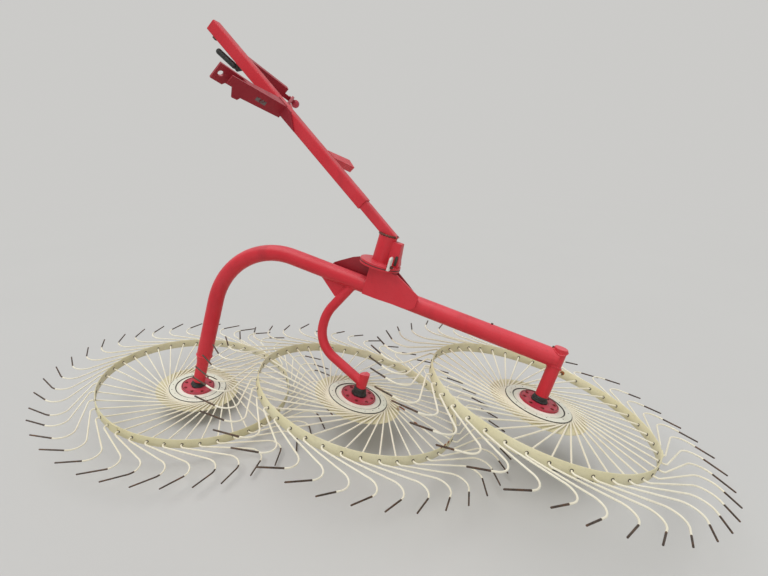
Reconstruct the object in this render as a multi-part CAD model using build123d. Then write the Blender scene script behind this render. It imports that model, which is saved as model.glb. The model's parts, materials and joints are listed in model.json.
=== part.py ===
from build123d import *
from math import cos, degrees, radians, sin, sqrt
import os

# Three-reel wheel rake for a tractor's three-point linkage, parked lying on its reels.
# Lengths are in millimetres. The rake is laid out in its own frame, where x runs along
# the main beam, z runs up the reel axles and y points behind the beam. The centre
# reel's rim has its middle at the origin. The last step leans the whole rake as it parks.

# Parking: how far the axles lean from upright.
PARK_LEAN_SIDE = 15.3
PARK_LEAN_BACK = -7.4

# Main beam, a bent round tube.
BEAM_OD = 73.0
BEAM_WALL = 5.0
BEAM_Z = 489.0
BEAM_BEND_RADIUS = 340.0

# Reel stations: place along the beam, height of the rim's middle.
LEFT_X, LEFT_Z = -812.0, -321.0
CENTRE_X, CENTRE_Z = 0.0, 0.0
RIGHT_X, RIGHT_Z = 712.0, 300.0
# The left axle is bent: lean along the beam and lean to the back.
LEFT_AXLE_LEAN_X = -6.2
LEFT_AXLE_LEAN_Y = 7.0

# Left leg end below the bent tube.
LEG_END_OD = 57.0
LEG_TAPER_TOP = 171.0
LEG_TAPER_LENGTH = 42.0
LEG_END_GAP = 26.0

# Centre arm, a thinner bent tube that bows clear of the right reel.
ARM_OD = 42.4
ARM_WALL = 4.0
ARM_TOP_X = -160.0
ARM_KNEE = (-254.0, 300.0)
ARM_ELBOW = (-248.0, 150.0)
ARM_KNEE_RADIUS = 190.0
ARM_ELBOW_RADIUS = 135.0
ARM_FOOT_Z = 60.0
STUB_OD = 44.5
STUB_LENGTH = 80.0
STUB_CUT_ANGLE = 22.0
GUSSET_THICKNESS = 8.0
GUSSET_LEFT_X = -316.0
GUSSET_RIGHT_X = -200.0
GUSSET_LOW_X = -236.0
GUSSET_LOW_Z = 392.0

# Right socket tube at the beam's end.
SOCKET_OD = 52.0
SOCKET_RISE = 9.0
SOCKET_CAP = 6.0

# Axles, seals and hubs.
AXLE_DIAMETER = 30.0
AXLE_GRIP = 50.0
AXLE_TAIL = 6.0
RUNNING_CLEARANCE = 0.05
SEAL_OD = 64.0
SEAL_GAP = 1.0
SEAL_LIP = 12.0
SEAL_TAPER = 8.0
LEFT_SEAL_TRIM = 4.0
FLANGE_OD = 156.0
FLANGE_THICKNESS = 8.0
HOUSING_OD = 76.0
HOUSING_DEPTH = 46.0
NUT_ACROSS = 50.0
NUT_HEIGHT = 16.0
NUT_GAP = 0.5

# Reels: tine wire, rim band and hub plates.
TINE_COUNT = 40
REEL_PHASE = 4.8
WIRE = 6.2
RIM_RADIUS = 450.0
RIM_THICKNESS = 4.0
RIM_HEIGHT = 44.0
HUB_DROP = 15.0
TINE_OFFSET = 131.0
TINE_INNER_RADIUS = 133.0
TINE_HOOK = (537.0, 273.0)
TINE_KNEE_OUT = 23.0
TINE_KNEE_RADIUS = 17.0
TINE_HOOK_RADIUS = 55.0
TIP_RADIUS = 704.0
TIP_ANGLE = 15.2
LOWER_PLATE_RADIUS = 196.0
UPPER_PLATE_RADIUS = 136.0
PLATE_THICKNESS = 4.0
PLATE_GAP = 1.0
WIRE_BITE = 1.0

# Saddle that carries the swivel post on the beam.
POST_X = -80.0
SADDLE_PLATE = 8.0
SADDLE_TOP_Z = 588.0
SADDLE_LOW_Z = 461.0
SADDLE_FRONT_LEFT_X = -108.0
SADDLE_BACK_LEFT_X = -225.0
SADDLE_BACK_TIP_X = -300.0
SADDLE_BACK_TIP_Z = 512.0
SADDLE_BACK_FOOT_X = -176.0
SADDLE_TOE_X = -44.0
SADDLE_TOP_RIGHT_X = 14.0
SADDLE_RIGHT_X = 126.0
SADDLE_SHOULDER_Z = 535.0
SADDLE_RIGHT_LOW_Z = 470.0
SADDLE_CORNER_RADIUS = 30.0
DISC_DIAMETER = 190.0
DISC_THICKNESS = 10.0
DISC_GAP = 0.4
POST_OD = 60.0

# Swivel sleeve and its lock.
SLEEVE_OD = 78.0
SLEEVE_HEIGHT = 118.0
SLEEVE_CAP = 6.0
POST_GAP = 0.5
LOCK_BOX_WIDTH = 46.0
LOCK_BOX_TOP_X = 0.0
LOCK_BOX_LOW_X = 20.0
LOCK_BOX_NOSE_X = 28.0
LOCK_BOX_NOSE_RISE = 13.0
LOCK_BOX_HEIGHT = 100.0
LOCK_PIN_DIAMETER = 12.0
LOCK_PIN_X, LOCK_PIN_Y = -22.0, -60.0
LOCK_PIN_RISE = 54.0
LOCK_PIN_HANDLE = 26.0
LOCK_PIN_BEND = 9.0

# Boom: a square tube sliding on an inner one.
BOOM_ANGLE = 149.6
BOOM_OUTER = 50.0
BOOM_WALL = 4.5
BOOM_CLEARANCE = 0.3
BOOM_BASE_Z = 729.0
BOOM_START = 163.0
BOOM_END = 1183.0
BOOM_INNER_START = -60.0
BOOM_INNER_END = 780.0
BOOM_INNER_WALL = 4.0

# Hitch head: two spread arms, each an ear plate and a brace that meet at the boom.
LOWER_LINK_SPAN = 540.0
LINK_PIN_DIAMETER = 22.4
LINK_ALONG_BOOM = 841.0
LINK_DROP = 20.0
HEAD_TOP = 14.0
EAR_THICKNESS = 12.0
EAR_BEYOND_PIN = 22.0
EAR_ROOT_ALONG = 710.0
BRACE_ROOT_STEP = 30.0
BRACE_ROOT_ALONG = EAR_ROOT_ALONG - BRACE_ROOT_STEP
EAR_ROOT_HEIGHT = -30.0
EAR_PROFILE = (
    # run in from the outer end, height above the boom's axis
    (0.0, HEAD_TOP),
    (0.0, -56.0),
    (50.0, -54.0),
    (57.0, -42.0),
)
BRACE_TIP_ALONG = 789.0
BRACE_TIP_OUT = 279.0
BRACE_THICKNESS = 6.0
BRACE_ROOT_HEIGHT = -33.0
BRACE_PROFILE = (
    # run in from the outer end, height above the boom's axis
    (0.0, HEAD_TOP),
    (0.0, -24.0),
    (24.0, -24.0),
    (49.0, -62.0),
    (74.0, -60.0),
    (80.0, -47.0),
)
TOP_WEB_RUN = 71.0
TOP_WEB_TIP_WIDTH = 25.0
TOP_WEB_ROOT_WIDTH = 54.0
BOOM_PAD_TOP_STEP = 28.0
BOOM_PAD_LOW_STEP = 95.0
BOOM_PAD_LOW_HEIGHT = -22.0

# Far side of the head: a short brace, a folded strut, a ball on the link pin and a bracket.
FAR_BRACE_OUT = 105.0
FAR_BRACE_STEP = 60.0
STRUT_ROOT_ALONG = 975.0
STRUT_TIP_PAST_LINK = 9.0
STRUT_TIP_INSIDE_LINK = 63.0
STRUT_TONGUE, STRUT_TONGUE_TOP = 42.0, -5.0
STRUT_TOP, STRUT_BOTTOM = 20.0, -25.0
STRUT_FLANGE = 25.0
FOLD_THICKNESS = 5.0
LINK_BALL_DIAMETER = 38.0
LINK_BALL_GAP = 2.0
LINK_PIN_TAIL = 16.0
BRACKET_FLANGE = (
    # along the boom, out from its axis
    (444.0, 25.0),
    (407.0, 205.0),
    (358.0, 182.0),
    (400.0, 25.0),
)
BRACKET_WEB_DEPTH = 30.0

# Hand grip under the boom, and the lug that carries it.
GRIP_DIAMETER = 25.0
GRIP_ROUNDING = 11.0
GRIP_START, GRIP_START_DROP = 985.0, 43.0
GRIP_END, GRIP_END_DROP = 1103.0, 57.0
LUG_THICKNESS = 6.0
LUG_START = 948.0
LUG_NOSE = 994.0
LUG_DEPTH = 52.0

REEL_TABLE = (
    # name, x, z, lean along the beam, lean to the back, height between hub flange and leg
    ("left", LEFT_X, LEFT_Z, LEFT_AXLE_LEAN_X, LEFT_AXLE_LEAN_Y, LEG_END_GAP - LEFT_SEAL_TRIM),
    ("centre", CENTRE_X, CENTRE_Z, 0.0, 0.0, LEG_END_GAP),
    ("right", RIGHT_X, RIGHT_Z, 0.0, 0.0, LEG_END_GAP),
)

# Heights that follow from the sizes above, measured from a rim's middle.
HUB_Z = -HUB_DROP
LOWER_PLATE_TOP = HUB_Z - WIRE / 2 + WIRE_BITE
UPPER_PLATE_BOTTOM = HUB_Z + WIRE / 2 + PLATE_GAP
FLANGE_BOTTOM = UPPER_PLATE_BOTTOM + PLATE_THICKNESS
FLANGE_TOP = FLANGE_BOTTOM + FLANGE_THICKNESS
HOUSING_BOTTOM = LOWER_PLATE_TOP - PLATE_THICKNESS - HOUSING_DEPTH
AXLE_BOTTOM = HOUSING_BOTTOM - NUT_GAP - NUT_HEIGHT - AXLE_TAIL
SEAL_BOTTOM = FLANGE_TOP + SEAL_GAP
DISC_LOWER_Z = SADDLE_TOP_Z
DISC_UPPER_Z = DISC_LOWER_Z + DISC_THICKNESS + DISC_GAP
SLEEVE_BOTTOM = DISC_UPPER_Z + DISC_THICKNESS
SLEEVE_TOP = SLEEVE_BOTTOM + SLEEVE_HEIGHT
POST_TOP = SLEEVE_TOP - SLEEVE_CAP
STUB_BOTTOM = CENTRE_Z + FLANGE_TOP + LEG_END_GAP

nodes = {}


def cylinder(radius, z_low, z_high, x=0.0, y=0.0):
    """Upright solid cylinder between two heights."""
    disc = Pos(x, y, z_low) * Circle(radius)
    return extrude(disc, amount=z_high - z_low, dir=(0, 0, 1))


def ring(outer, inner, z_low, z_high, x=0.0, y=0.0):
    """Upright tube between two heights."""
    return cylinder(outer, z_low, z_high, x, y) - cylinder(inner, z_low - 1, z_high + 1, x, y)


def piped(path, section):
    """Round section along a flat path, each straight run extruded and each bend revolved."""
    pieces = []
    for edge in path.edges():
        face = Plane(origin=edge @ 0, z_dir=edge % 0) * section
        if edge.geom_type == GeomType.CIRCLE:
            axis = Axis(edge.arc_center, (edge % 0).cross(edge % 1))
            pieces.append(revolve(face, axis=axis, revolution_arc=degrees(edge.length / edge.radius)))
        else:
            pieces.append(extrude(face, amount=edge.length))
    return pieces[0].fuse(*pieces[1:])


def plate_xz(points, thickness, y_middle):
    """Flat plate in the beam's plane, centred on one y."""
    outline = Plane.XZ.offset(-y_middle + thickness / 2) * make_face(Polyline(*points, close=True))
    return extrude(outline, amount=-thickness)


def main_beam():
    """Bent tube: left leg, crook and straight run to the right socket."""
    path = FilletPolyline(
        (LEFT_X, 0, LEFT_Z + LEG_TAPER_TOP),
        (LEFT_X, 0, BEAM_Z),
        (RIGHT_X, 0, BEAM_Z),
        radius=BEAM_BEND_RADIUS,
    )
    tube = piped(path, Circle(BEAM_OD / 2) - Circle(BEAM_OD / 2 - BEAM_WALL))
    return tube - cylinder(SOCKET_OD / 2, BEAM_Z - BEAM_OD, BEAM_Z + BEAM_OD, RIGHT_X)


def reel_place(x, z, lean_x, lean_y):
    """Place of one reel: its rim's middle and the lean of its axle."""
    return Pos(x, 0, z) * Rot(lean_y, lean_x, 0)


def leg_end():
    """Left leg's reducer and end tube, bored for the bent axle."""
    top = LEFT_Z + LEG_TAPER_TOP
    taper = top - LEG_TAPER_LENGTH
    bottom = LEFT_Z + FLANGE_TOP + LEG_END_GAP
    profile = Polyline(
        (0, bottom), (LEG_END_OD / 2, bottom), (LEG_END_OD / 2, taper),
        (BEAM_OD / 2, top), (0, top), close=True,
    )
    return Pos(LEFT_X, 0, 0) * revolve(Plane.XZ * make_face(profile), axis=Axis.Z)


def arm_solid(section):
    """Section swept along the centre arm's bowed line."""
    path = FilletPolyline(
        (ARM_TOP_X, 0, BEAM_Z),
        (ARM_KNEE[0], 0, ARM_KNEE[1]),
        (ARM_ELBOW[0], 0, ARM_ELBOW[1]),
        (CENTRE_X, 0, ARM_FOOT_Z),
        radius=[ARM_KNEE_RADIUS, ARM_ELBOW_RADIUS],
    )
    return piped(path, section)


def beam_bar():
    """Straight run of the beam's outside, for cutting what meets it."""
    return Pos(0, 0, BEAM_Z) * Rot(0, 90, 0) * Cylinder(BEAM_OD / 2, RIGHT_X - CENTRE_X)


def centre_arm():
    """Bowed tube from the beam's underside to the centre axle's stub."""
    tube = arm_solid(Circle(ARM_OD / 2) - Circle(ARM_OD / 2 - ARM_WALL))
    stub = cylinder(STUB_OD / 2, STUB_BOTTOM - STUB_LENGTH, STUB_BOTTOM + 2 * STUB_LENGTH, CENTRE_X)
    return tube - beam_bar() - stub


def centre_stub():
    """Upright stub that takes the centre axle, cut off at a slant on top."""
    body = cylinder(STUB_OD / 2, STUB_BOTTOM, STUB_BOTTOM + STUB_LENGTH, CENTRE_X)
    block = Box(3 * STUB_OD, 2 * STUB_OD, STUB_OD, align=(Align.CENTER, Align.CENTER, Align.MIN))
    return body - Pos(CENTRE_X, 0, STUB_BOTTOM + STUB_LENGTH) * Rot(0, -STUB_CUT_ANGLE, 0) * block


def arm_gusset():
    """Triangular plate in the corner between the beam and the centre arm."""
    points = (
        (GUSSET_LEFT_X, BEAM_Z), (GUSSET_LEFT_X, BEAM_Z - BEAM_OD / 2),
        (GUSSET_LOW_X, GUSSET_LOW_Z), (GUSSET_RIGHT_X, GUSSET_LOW_Z), (GUSSET_RIGHT_X, BEAM_Z),
    )
    return plate_xz(points, GUSSET_THICKNESS, 0) - beam_bar() - arm_solid(Circle(ARM_OD / 2))


def right_socket():
    """Thick socket tube at the beam's right end, closed by a cap."""
    low = RIGHT_Z + FLANGE_TOP + LEG_END_GAP
    high = BEAM_Z + BEAM_OD / 2 + SOCKET_RISE
    bore = cylinder(AXLE_DIAMETER / 2, low + AXLE_GRIP / 2, high - SOCKET_CAP, RIGHT_X)
    return cylinder(SOCKET_OD / 2, low, high, RIGHT_X) - bore


def axle(x, z, lean_x, lean_y, top):
    """Fixed axle with its nut below the hub."""
    place = reel_place(x, z, lean_x, lean_y)
    shaft = cylinder(AXLE_DIAMETER / 2, AXLE_BOTTOM, top)
    nut_low = HOUSING_BOTTOM - NUT_GAP - NUT_HEIGHT
    nut = Pos(0, 0, nut_low) * RegularPolygon(NUT_ACROSS / sqrt(3), 6)
    return place * (shaft + extrude(nut, amount=NUT_HEIGHT))


def seal(x, z, lean_x, lean_y, height):
    """Rubber boot between the leg's end and the hub flange."""
    high = FLANGE_TOP + height
    profile = Polyline(
        (AXLE_DIAMETER / 2, SEAL_BOTTOM), (SEAL_OD / 2, SEAL_BOTTOM),
        (SEAL_OD / 2, SEAL_BOTTOM + SEAL_LIP), (SEAL_OD / 2 - SEAL_TAPER, high),
        (AXLE_DIAMETER / 2, high), close=True,
    )
    return reel_place(x, z, lean_x, lean_y) * revolve(Plane.XZ * make_face(profile), axis=Axis.Z)


def tine():
    """One tine wire: spoke that rises to the rim, knee outside it, trailing run and hooked tip."""
    foot = sqrt(RIM_RADIUS ** 2 - TINE_OFFSET ** 2)
    out_x, out_y = foot / RIM_RADIUS, -TINE_OFFSET / RIM_RADIUS
    inner = foot - sqrt(TINE_INNER_RADIUS ** 2 - TINE_OFFSET ** 2)
    tip_angle = radians(TIP_ANGLE)
    line = FilletPolyline(
        (RIM_RADIUS, 0),
        (RIM_RADIUS + TINE_KNEE_OUT * out_x, TINE_KNEE_OUT * out_y),
        TINE_HOOK,
        (TIP_RADIUS * cos(tip_angle), TIP_RADIUS * sin(tip_angle)),
        radius=[TINE_KNEE_RADIUS, TINE_HOOK_RADIUS],
    )
    outside = extrude(trace(line, WIRE), amount=WIRE / 2, both=True)
    rise = Vector(inner * out_x, inner * out_y, HUB_DROP)
    hub_end = Vector(RIM_RADIUS, 0, 0) - rise
    spoke = Plane(origin=hub_end, x_dir=(-out_y, out_x, 0), z_dir=rise) * Rectangle(WIRE, WIRE)
    return outside + extrude(spoke, amount=rise.length + RIM_THICKNESS / 4)


def reel_wheel():
    """Rim band, forty tines and the lower hub plate, joined as one wheel."""
    rim = ring(RIM_RADIUS + RIM_THICKNESS / 2, RIM_RADIUS - RIM_THICKNESS / 2, -RIM_HEIGHT / 2, RIM_HEIGHT / 2)
    plate = ring(LOWER_PLATE_RADIUS, HOUSING_OD / 2, LOWER_PLATE_TOP - PLATE_THICKNESS, LOWER_PLATE_TOP)
    wire = tine()
    wires = [Rot(0, 0, REEL_PHASE + 360 / TINE_COUNT * step) * wire for step in range(TINE_COUNT)]
    return rim.fuse(plate, *wires)


def reel_plate():
    """Upper hub plate that clamps the tines."""
    return ring(UPPER_PLATE_RADIUS, HOUSING_OD / 2, UPPER_PLATE_BOTTOM, FLANGE_BOTTOM)


def reel_hub():
    """Flange and bearing housing."""
    bore = AXLE_DIAMETER / 2 + RUNNING_CLEARANCE
    profile = Polyline(
        (bore, HOUSING_BOTTOM), (HOUSING_OD / 2, HOUSING_BOTTOM), (HOUSING_OD / 2, FLANGE_BOTTOM),
        (FLANGE_OD / 2, FLANGE_BOTTOM), (FLANGE_OD / 2, FLANGE_TOP), (bore, FLANGE_TOP), close=True,
    )
    return revolve(Plane.XZ * make_face(profile), axis=Axis.Z)


def saddle_plate(side, left_points):
    """One side plate of the saddle, welded against the beam, rounded at its low right corner."""
    points = (
        *left_points, (SADDLE_TOP_RIGHT_X, SADDLE_TOP_Z), (SADDLE_RIGHT_X, SADDLE_SHOULDER_Z),
        (SADDLE_RIGHT_X, SADDLE_RIGHT_LOW_Z), (SADDLE_TOE_X, SADDLE_LOW_Z),
    )
    plate = plate_xz(points, SADDLE_PLATE, side * (BEAM_OD / 2 + SADDLE_PLATE / 2))
    corner = plate.edges().filter_by(Axis.Y).group_by(Axis.X)[-1].sort_by(Axis.Z)[0]
    return fillet(corner, SADDLE_CORNER_RADIUS)


def saddle_front():
    """Saddle plate in front of the beam."""
    return saddle_plate(-1, ((SADDLE_FRONT_LEFT_X, SADDLE_LOW_Z), (SADDLE_FRONT_LEFT_X, SADDLE_TOP_Z)))


def saddle_back():
    """Saddle plate behind the beam, with a long tip to the left."""
    return saddle_plate(1, (
        (SADDLE_BACK_FOOT_X, SADDLE_LOW_Z), (SADDLE_BACK_TIP_X, SADDLE_BACK_TIP_Z),
        (SADDLE_BACK_LEFT_X, SADDLE_TOP_Z),
    ))


def swivel_post():
    """Lower disc on the saddle, with the post that the sleeve turns on."""
    disc = cylinder(DISC_DIAMETER / 2, DISC_LOWER_Z, DISC_LOWER_Z + DISC_THICKNESS, POST_X)
    post = cylinder(POST_OD / 2, BEAM_Z + BEAM_OD / 2, POST_TOP, POST_X)
    return disc + post


def swivel_sleeve():
    """Sleeve with its upper disc, closed by a cap under the boom."""
    disc = cylinder(DISC_DIAMETER / 2, DISC_UPPER_Z, SLEEVE_BOTTOM, POST_X)
    body = cylinder(SLEEVE_OD / 2, SLEEVE_BOTTOM, SLEEVE_TOP, POST_X)
    bore = cylinder(POST_OD / 2 + RUNNING_CLEARANCE, DISC_UPPER_Z - 1, POST_TOP + POST_GAP, POST_X)
    return disc + body - bore


def lock_box():
    """Wedge-shaped guide box on the sleeve's right side."""
    high = SLEEVE_BOTTOM + LOCK_BOX_HEIGHT
    points = (
        (POST_X, SLEEVE_BOTTOM), (LOCK_BOX_LOW_X, SLEEVE_BOTTOM),
        (LOCK_BOX_NOSE_X, SLEEVE_BOTTOM + LOCK_BOX_NOSE_RISE), (LOCK_BOX_TOP_X, high), (POST_X, high),
    )
    return plate_xz(points, LOCK_BOX_WIDTH, 0) - cylinder(SLEEVE_OD / 2, SLEEVE_BOTTOM - 1, SLEEVE_TOP, POST_X)


def lock_pin():
    """Bent rod that drops through the discs; here it is lifted clear of the lower one."""
    path = FilletPolyline(
        (LOCK_PIN_X, LOCK_PIN_Y, DISC_UPPER_Z),
        (LOCK_PIN_X, LOCK_PIN_Y, DISC_UPPER_Z + LOCK_PIN_RISE),
        (LOCK_PIN_X, LOCK_PIN_Y - LOCK_PIN_HANDLE, DISC_UPPER_Z + LOCK_PIN_RISE),
        radius=LOCK_PIN_BEND,
    )
    return piped(path, Circle(LOCK_PIN_DIAMETER / 2))


def boom_place(along):
    """Frame on the boom's axis: x along the boom, y out to the near side, z square to both."""
    angle = radians(BOOM_ANGLE)
    point = (POST_X + along * cos(angle), 0, BOOM_BASE_Z + along * sin(angle))
    return Location(Plane(origin=point, x_dir=(cos(angle), 0, sin(angle)), z_dir=(sin(angle), 0, -cos(angle))))


def square_tube(size, wall, start, end):
    """Square tube on the boom's axis."""
    length = end - start
    align = (Align.MIN, Align.CENTER, Align.CENTER)
    outside = Box(length, size, size, align=align)
    inside = Pos(-1, 0, 0) * Box(length + 2, size - 2 * wall, size - 2 * wall, align=align)
    return boom_place(start) * (outside - inside)


def boom_inner():
    """Inner boom tube, mitred down onto the sleeve's cap."""
    size = BOOM_OUTER - 2 * BOOM_WALL - 2 * BOOM_CLEARANCE
    tube = square_tube(size, BOOM_INNER_WALL, BOOM_INNER_START, BOOM_INNER_END)
    below = Box(4 * SLEEVE_OD, 2 * SLEEVE_OD, 2 * SLEEVE_OD, align=(Align.CENTER, Align.CENTER, Align.MAX))
    return tube - Pos(POST_X, 0, SLEEVE_TOP) * below


def flat_plate(points, top, thickness):
    """Plate square to the boom's upright: its outline is (along, out), its upper face at one height."""
    outline = Pos(0, 0, top) * make_face(Polyline(*points, close=True))
    return extrude(outline, amount=-thickness)


def arm_plane(tip_along, tip_out, root_along, root_out):
    """Upright plane through two points of the head: x runs inward, y is the height."""
    run = Vector(root_along - tip_along, root_out - tip_out, 0)
    return Plane(origin=(tip_along, tip_out, 0), x_dir=run, z_dir=run.cross(Vector(0, 0, 1)))


def arm_plate(plane, run, profile, root_height, root_top, thickness):
    """Upright plate of one arm, from its outer end to just inside the boom."""
    points = (*profile, (run, root_height), (run, root_top))
    face = make_face(Polyline(*points, close=True))
    return extrude(plane * face, amount=thickness / 2, both=True)


def link_ear():
    """Ear plate of the near arm, in the boom's frame."""
    side = BOOM_OUTER / 2
    pin_out = LOWER_LINK_SPAN / 2
    reach = Vector(LINK_ALONG_BOOM - EAR_ROOT_ALONG, pin_out - side, 0)
    tip = Vector(LINK_ALONG_BOOM, pin_out, 0) + reach.normalized() * EAR_BEYOND_PIN
    ear_plane = arm_plane(tip.X, tip.Y, EAR_ROOT_ALONG, side)
    run = reach.length + 2 * EAR_BEYOND_PIN
    ear = arm_plate(ear_plane, run, EAR_PROFILE, EAR_ROOT_HEIGHT, HEAD_TOP, EAR_THICKNESS)
    hole = ear_plane * Pos(EAR_BEYOND_PIN, -LINK_DROP) * Circle(LINK_PIN_DIAMETER / 2)
    return ear - extrude(hole, amount=EAR_THICKNESS, both=True) - boom_bar()


def boom_bar():
    """Boom's outside in its own frame, for cutting what meets it."""
    return Box(2 * BOOM_END, BOOM_OUTER, BOOM_OUTER)


def near_brace():
    """Folded brace of the near arm: an upright plate, a strip on top and a pad on the boom."""
    side = BOOM_OUTER / 2
    plane = arm_plane(BRACE_TIP_ALONG, BRACE_TIP_OUT, BRACE_ROOT_ALONG, side)
    run = Vector(BRACE_TIP_ALONG - BRACE_ROOT_ALONG, BRACE_TIP_OUT - side, 0).length
    plate = arm_plate(plane, run, BRACE_PROFILE, BRACE_ROOT_HEIGHT, side, BRACE_THICKNESS)
    tip = Vector(BRACE_TIP_ALONG, BRACE_TIP_OUT, HEAD_TOP)
    root = Vector(BRACE_ROOT_ALONG, side, side)
    strip_plane = Plane(origin=tip, x_dir=root - tip, z_dir=(root - tip).cross(Vector(1, 0, 0)))
    if strip_plane.z_dir.Z < 0:
        strip_plane = Plane(origin=tip, x_dir=root - tip, z_dir=-strip_plane.z_dir)
    start = tip + (root - tip).normalized() * TOP_WEB_RUN
    corners = (
        start, start + Vector(TOP_WEB_TIP_WIDTH, 0, 0), root + Vector(TOP_WEB_ROOT_WIDTH, 0, 0), root,
    )
    outline = [strip_plane.to_local_coords(corner) for corner in corners]
    strip = extrude(strip_plane * make_face(Polyline(*outline, close=True)), amount=-BRACE_THICKNESS)
    pad_face = Plane.XZ.offset(-side) * make_face(Polyline(
        (BRACE_ROOT_ALONG, side), (BRACE_ROOT_ALONG, BOOM_PAD_LOW_HEIGHT),
        (BRACE_ROOT_ALONG - BOOM_PAD_LOW_STEP, BOOM_PAD_LOW_HEIGHT),
        (BRACE_ROOT_ALONG - BOOM_PAD_TOP_STEP, side), close=True))
    pad = extrude(pad_face, amount=-BRACE_THICKNESS)
    return plate + strip + pad - boom_bar()


def far_brace():
    """Short flat brace in the corner between the boom and the far ear."""
    side = BOOM_OUTER / 2
    slope = (LINK_ALONG_BOOM - EAR_ROOT_ALONG) / (LOWER_LINK_SPAN / 2 - side)
    points = (
        (EAR_ROOT_ALONG, side), (EAR_ROOT_ALONG + slope * (FAR_BRACE_OUT - side), FAR_BRACE_OUT),
        (EAR_ROOT_ALONG - FAR_BRACE_STEP, side),
    )
    return flat_plate(points, HEAD_TOP, BRACE_THICKNESS)


def far_strut():
    """Folded strut on the boom's far side: a flange on a web whose tongue meets the far ear."""
    side = BOOM_OUTER / 2
    tip_along = LINK_ALONG_BOOM + STRUT_TIP_PAST_LINK
    tip_out = LOWER_LINK_SPAN / 2 - STRUT_TIP_INSIDE_LINK
    plane = arm_plane(tip_along, tip_out, STRUT_ROOT_ALONG, side)
    run = Vector(STRUT_ROOT_ALONG - tip_along, tip_out - side, 0).length
    points = (
        (-STRUT_TONGUE, STRUT_BOTTOM), (run + EAR_THICKNESS, STRUT_BOTTOM), (run + EAR_THICKNESS, STRUT_TOP),
        (0, STRUT_TOP), (0, STRUT_TONGUE_TOP), (-STRUT_TONGUE, STRUT_TONGUE_TOP),
    )
    web = plane.location * extrude(make_face(Polyline(*points, close=True)), amount=-FOLD_THICKNESS)
    flange = plane.location * Pos(0, STRUT_TOP - FOLD_THICKNESS, -STRUT_FLANGE) * Box(
        run + EAR_THICKNESS, FOLD_THICKNESS, STRUT_FLANGE, align=Align.MIN)
    ear_side = arm_plane(LINK_ALONG_BOOM, LOWER_LINK_SPAN / 2, EAR_ROOT_ALONG, side).location * Pos(
        0, 0, -EAR_THICKNESS / 2) * Box(
        2 * BOOM_END, LOWER_LINK_SPAN, LOWER_LINK_SPAN, align=(Align.CENTER, Align.CENTER, Align.MIN))
    return web + flange - boom_bar() - ear_side


def far_link_pin():
    """Lower-link pin in the far ear, with its ball on the boom's lower side."""
    side = BOOM_OUTER / 2
    pin_out = LOWER_LINK_SPAN / 2
    plane = arm_plane(LINK_ALONG_BOOM, pin_out, EAR_ROOT_ALONG, side)
    ball_at = EAR_THICKNESS / 2 + LINK_BALL_GAP + LINK_BALL_DIAMETER / 2
    rod = Pos(0, -LINK_DROP, -LINK_PIN_TAIL) * Cylinder(
        LINK_PIN_DIAMETER / 2, LINK_PIN_TAIL + ball_at, align=(Align.CENTER, Align.CENTER, Align.MIN))
    return plane.location * (rod + Pos(0, -LINK_DROP, ball_at) * Sphere(LINK_BALL_DIAMETER / 2))


def boom_bracket():
    """Folded bracket on the boom's side: a flange on top of a short hanging web."""
    side = BOOM_OUTER / 2
    flange = flat_plate(BRACKET_FLANGE, side, FOLD_THICKNESS)
    tip, root = BRACKET_FLANGE[2], BRACKET_FLANGE[3]
    plane = arm_plane(tip[0], tip[1], root[0], root[1])
    run = Vector(tip[0] - root[0], tip[1] - root[1], 0).length
    web = plane.location * Pos(0, side - BRACKET_WEB_DEPTH, -FOLD_THICKNESS) * Box(
        run, BRACKET_WEB_DEPTH, FOLD_THICKNESS, align=Align.MIN)
    return flange + web


def grip_lug():
    """Small plate under the boom that holds the hand grip."""
    low = -BOOM_OUTER / 2
    points = ((LUG_START, low), (LUG_NOSE, low), (LUG_NOSE, -LUG_DEPTH), (LUG_NOSE - GRIP_DIAMETER, -LUG_DEPTH))
    return plate_xz(points, LUG_THICKNESS, 0)


def head_grip():
    """Round-ended hand grip that hangs along the boom's underside."""
    run = Vector(GRIP_END - GRIP_START, 0, GRIP_START_DROP - GRIP_END_DROP)
    body = Cylinder(GRIP_DIAMETER / 2, run.length, align=(Align.CENTER, Align.CENTER, Align.MIN))
    body = fillet(body.edges().filter_by(GeomType.CIRCLE), GRIP_ROUNDING)
    return Plane(origin=(GRIP_START, 0, -GRIP_START_DROP), z_dir=run).location * body


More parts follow.
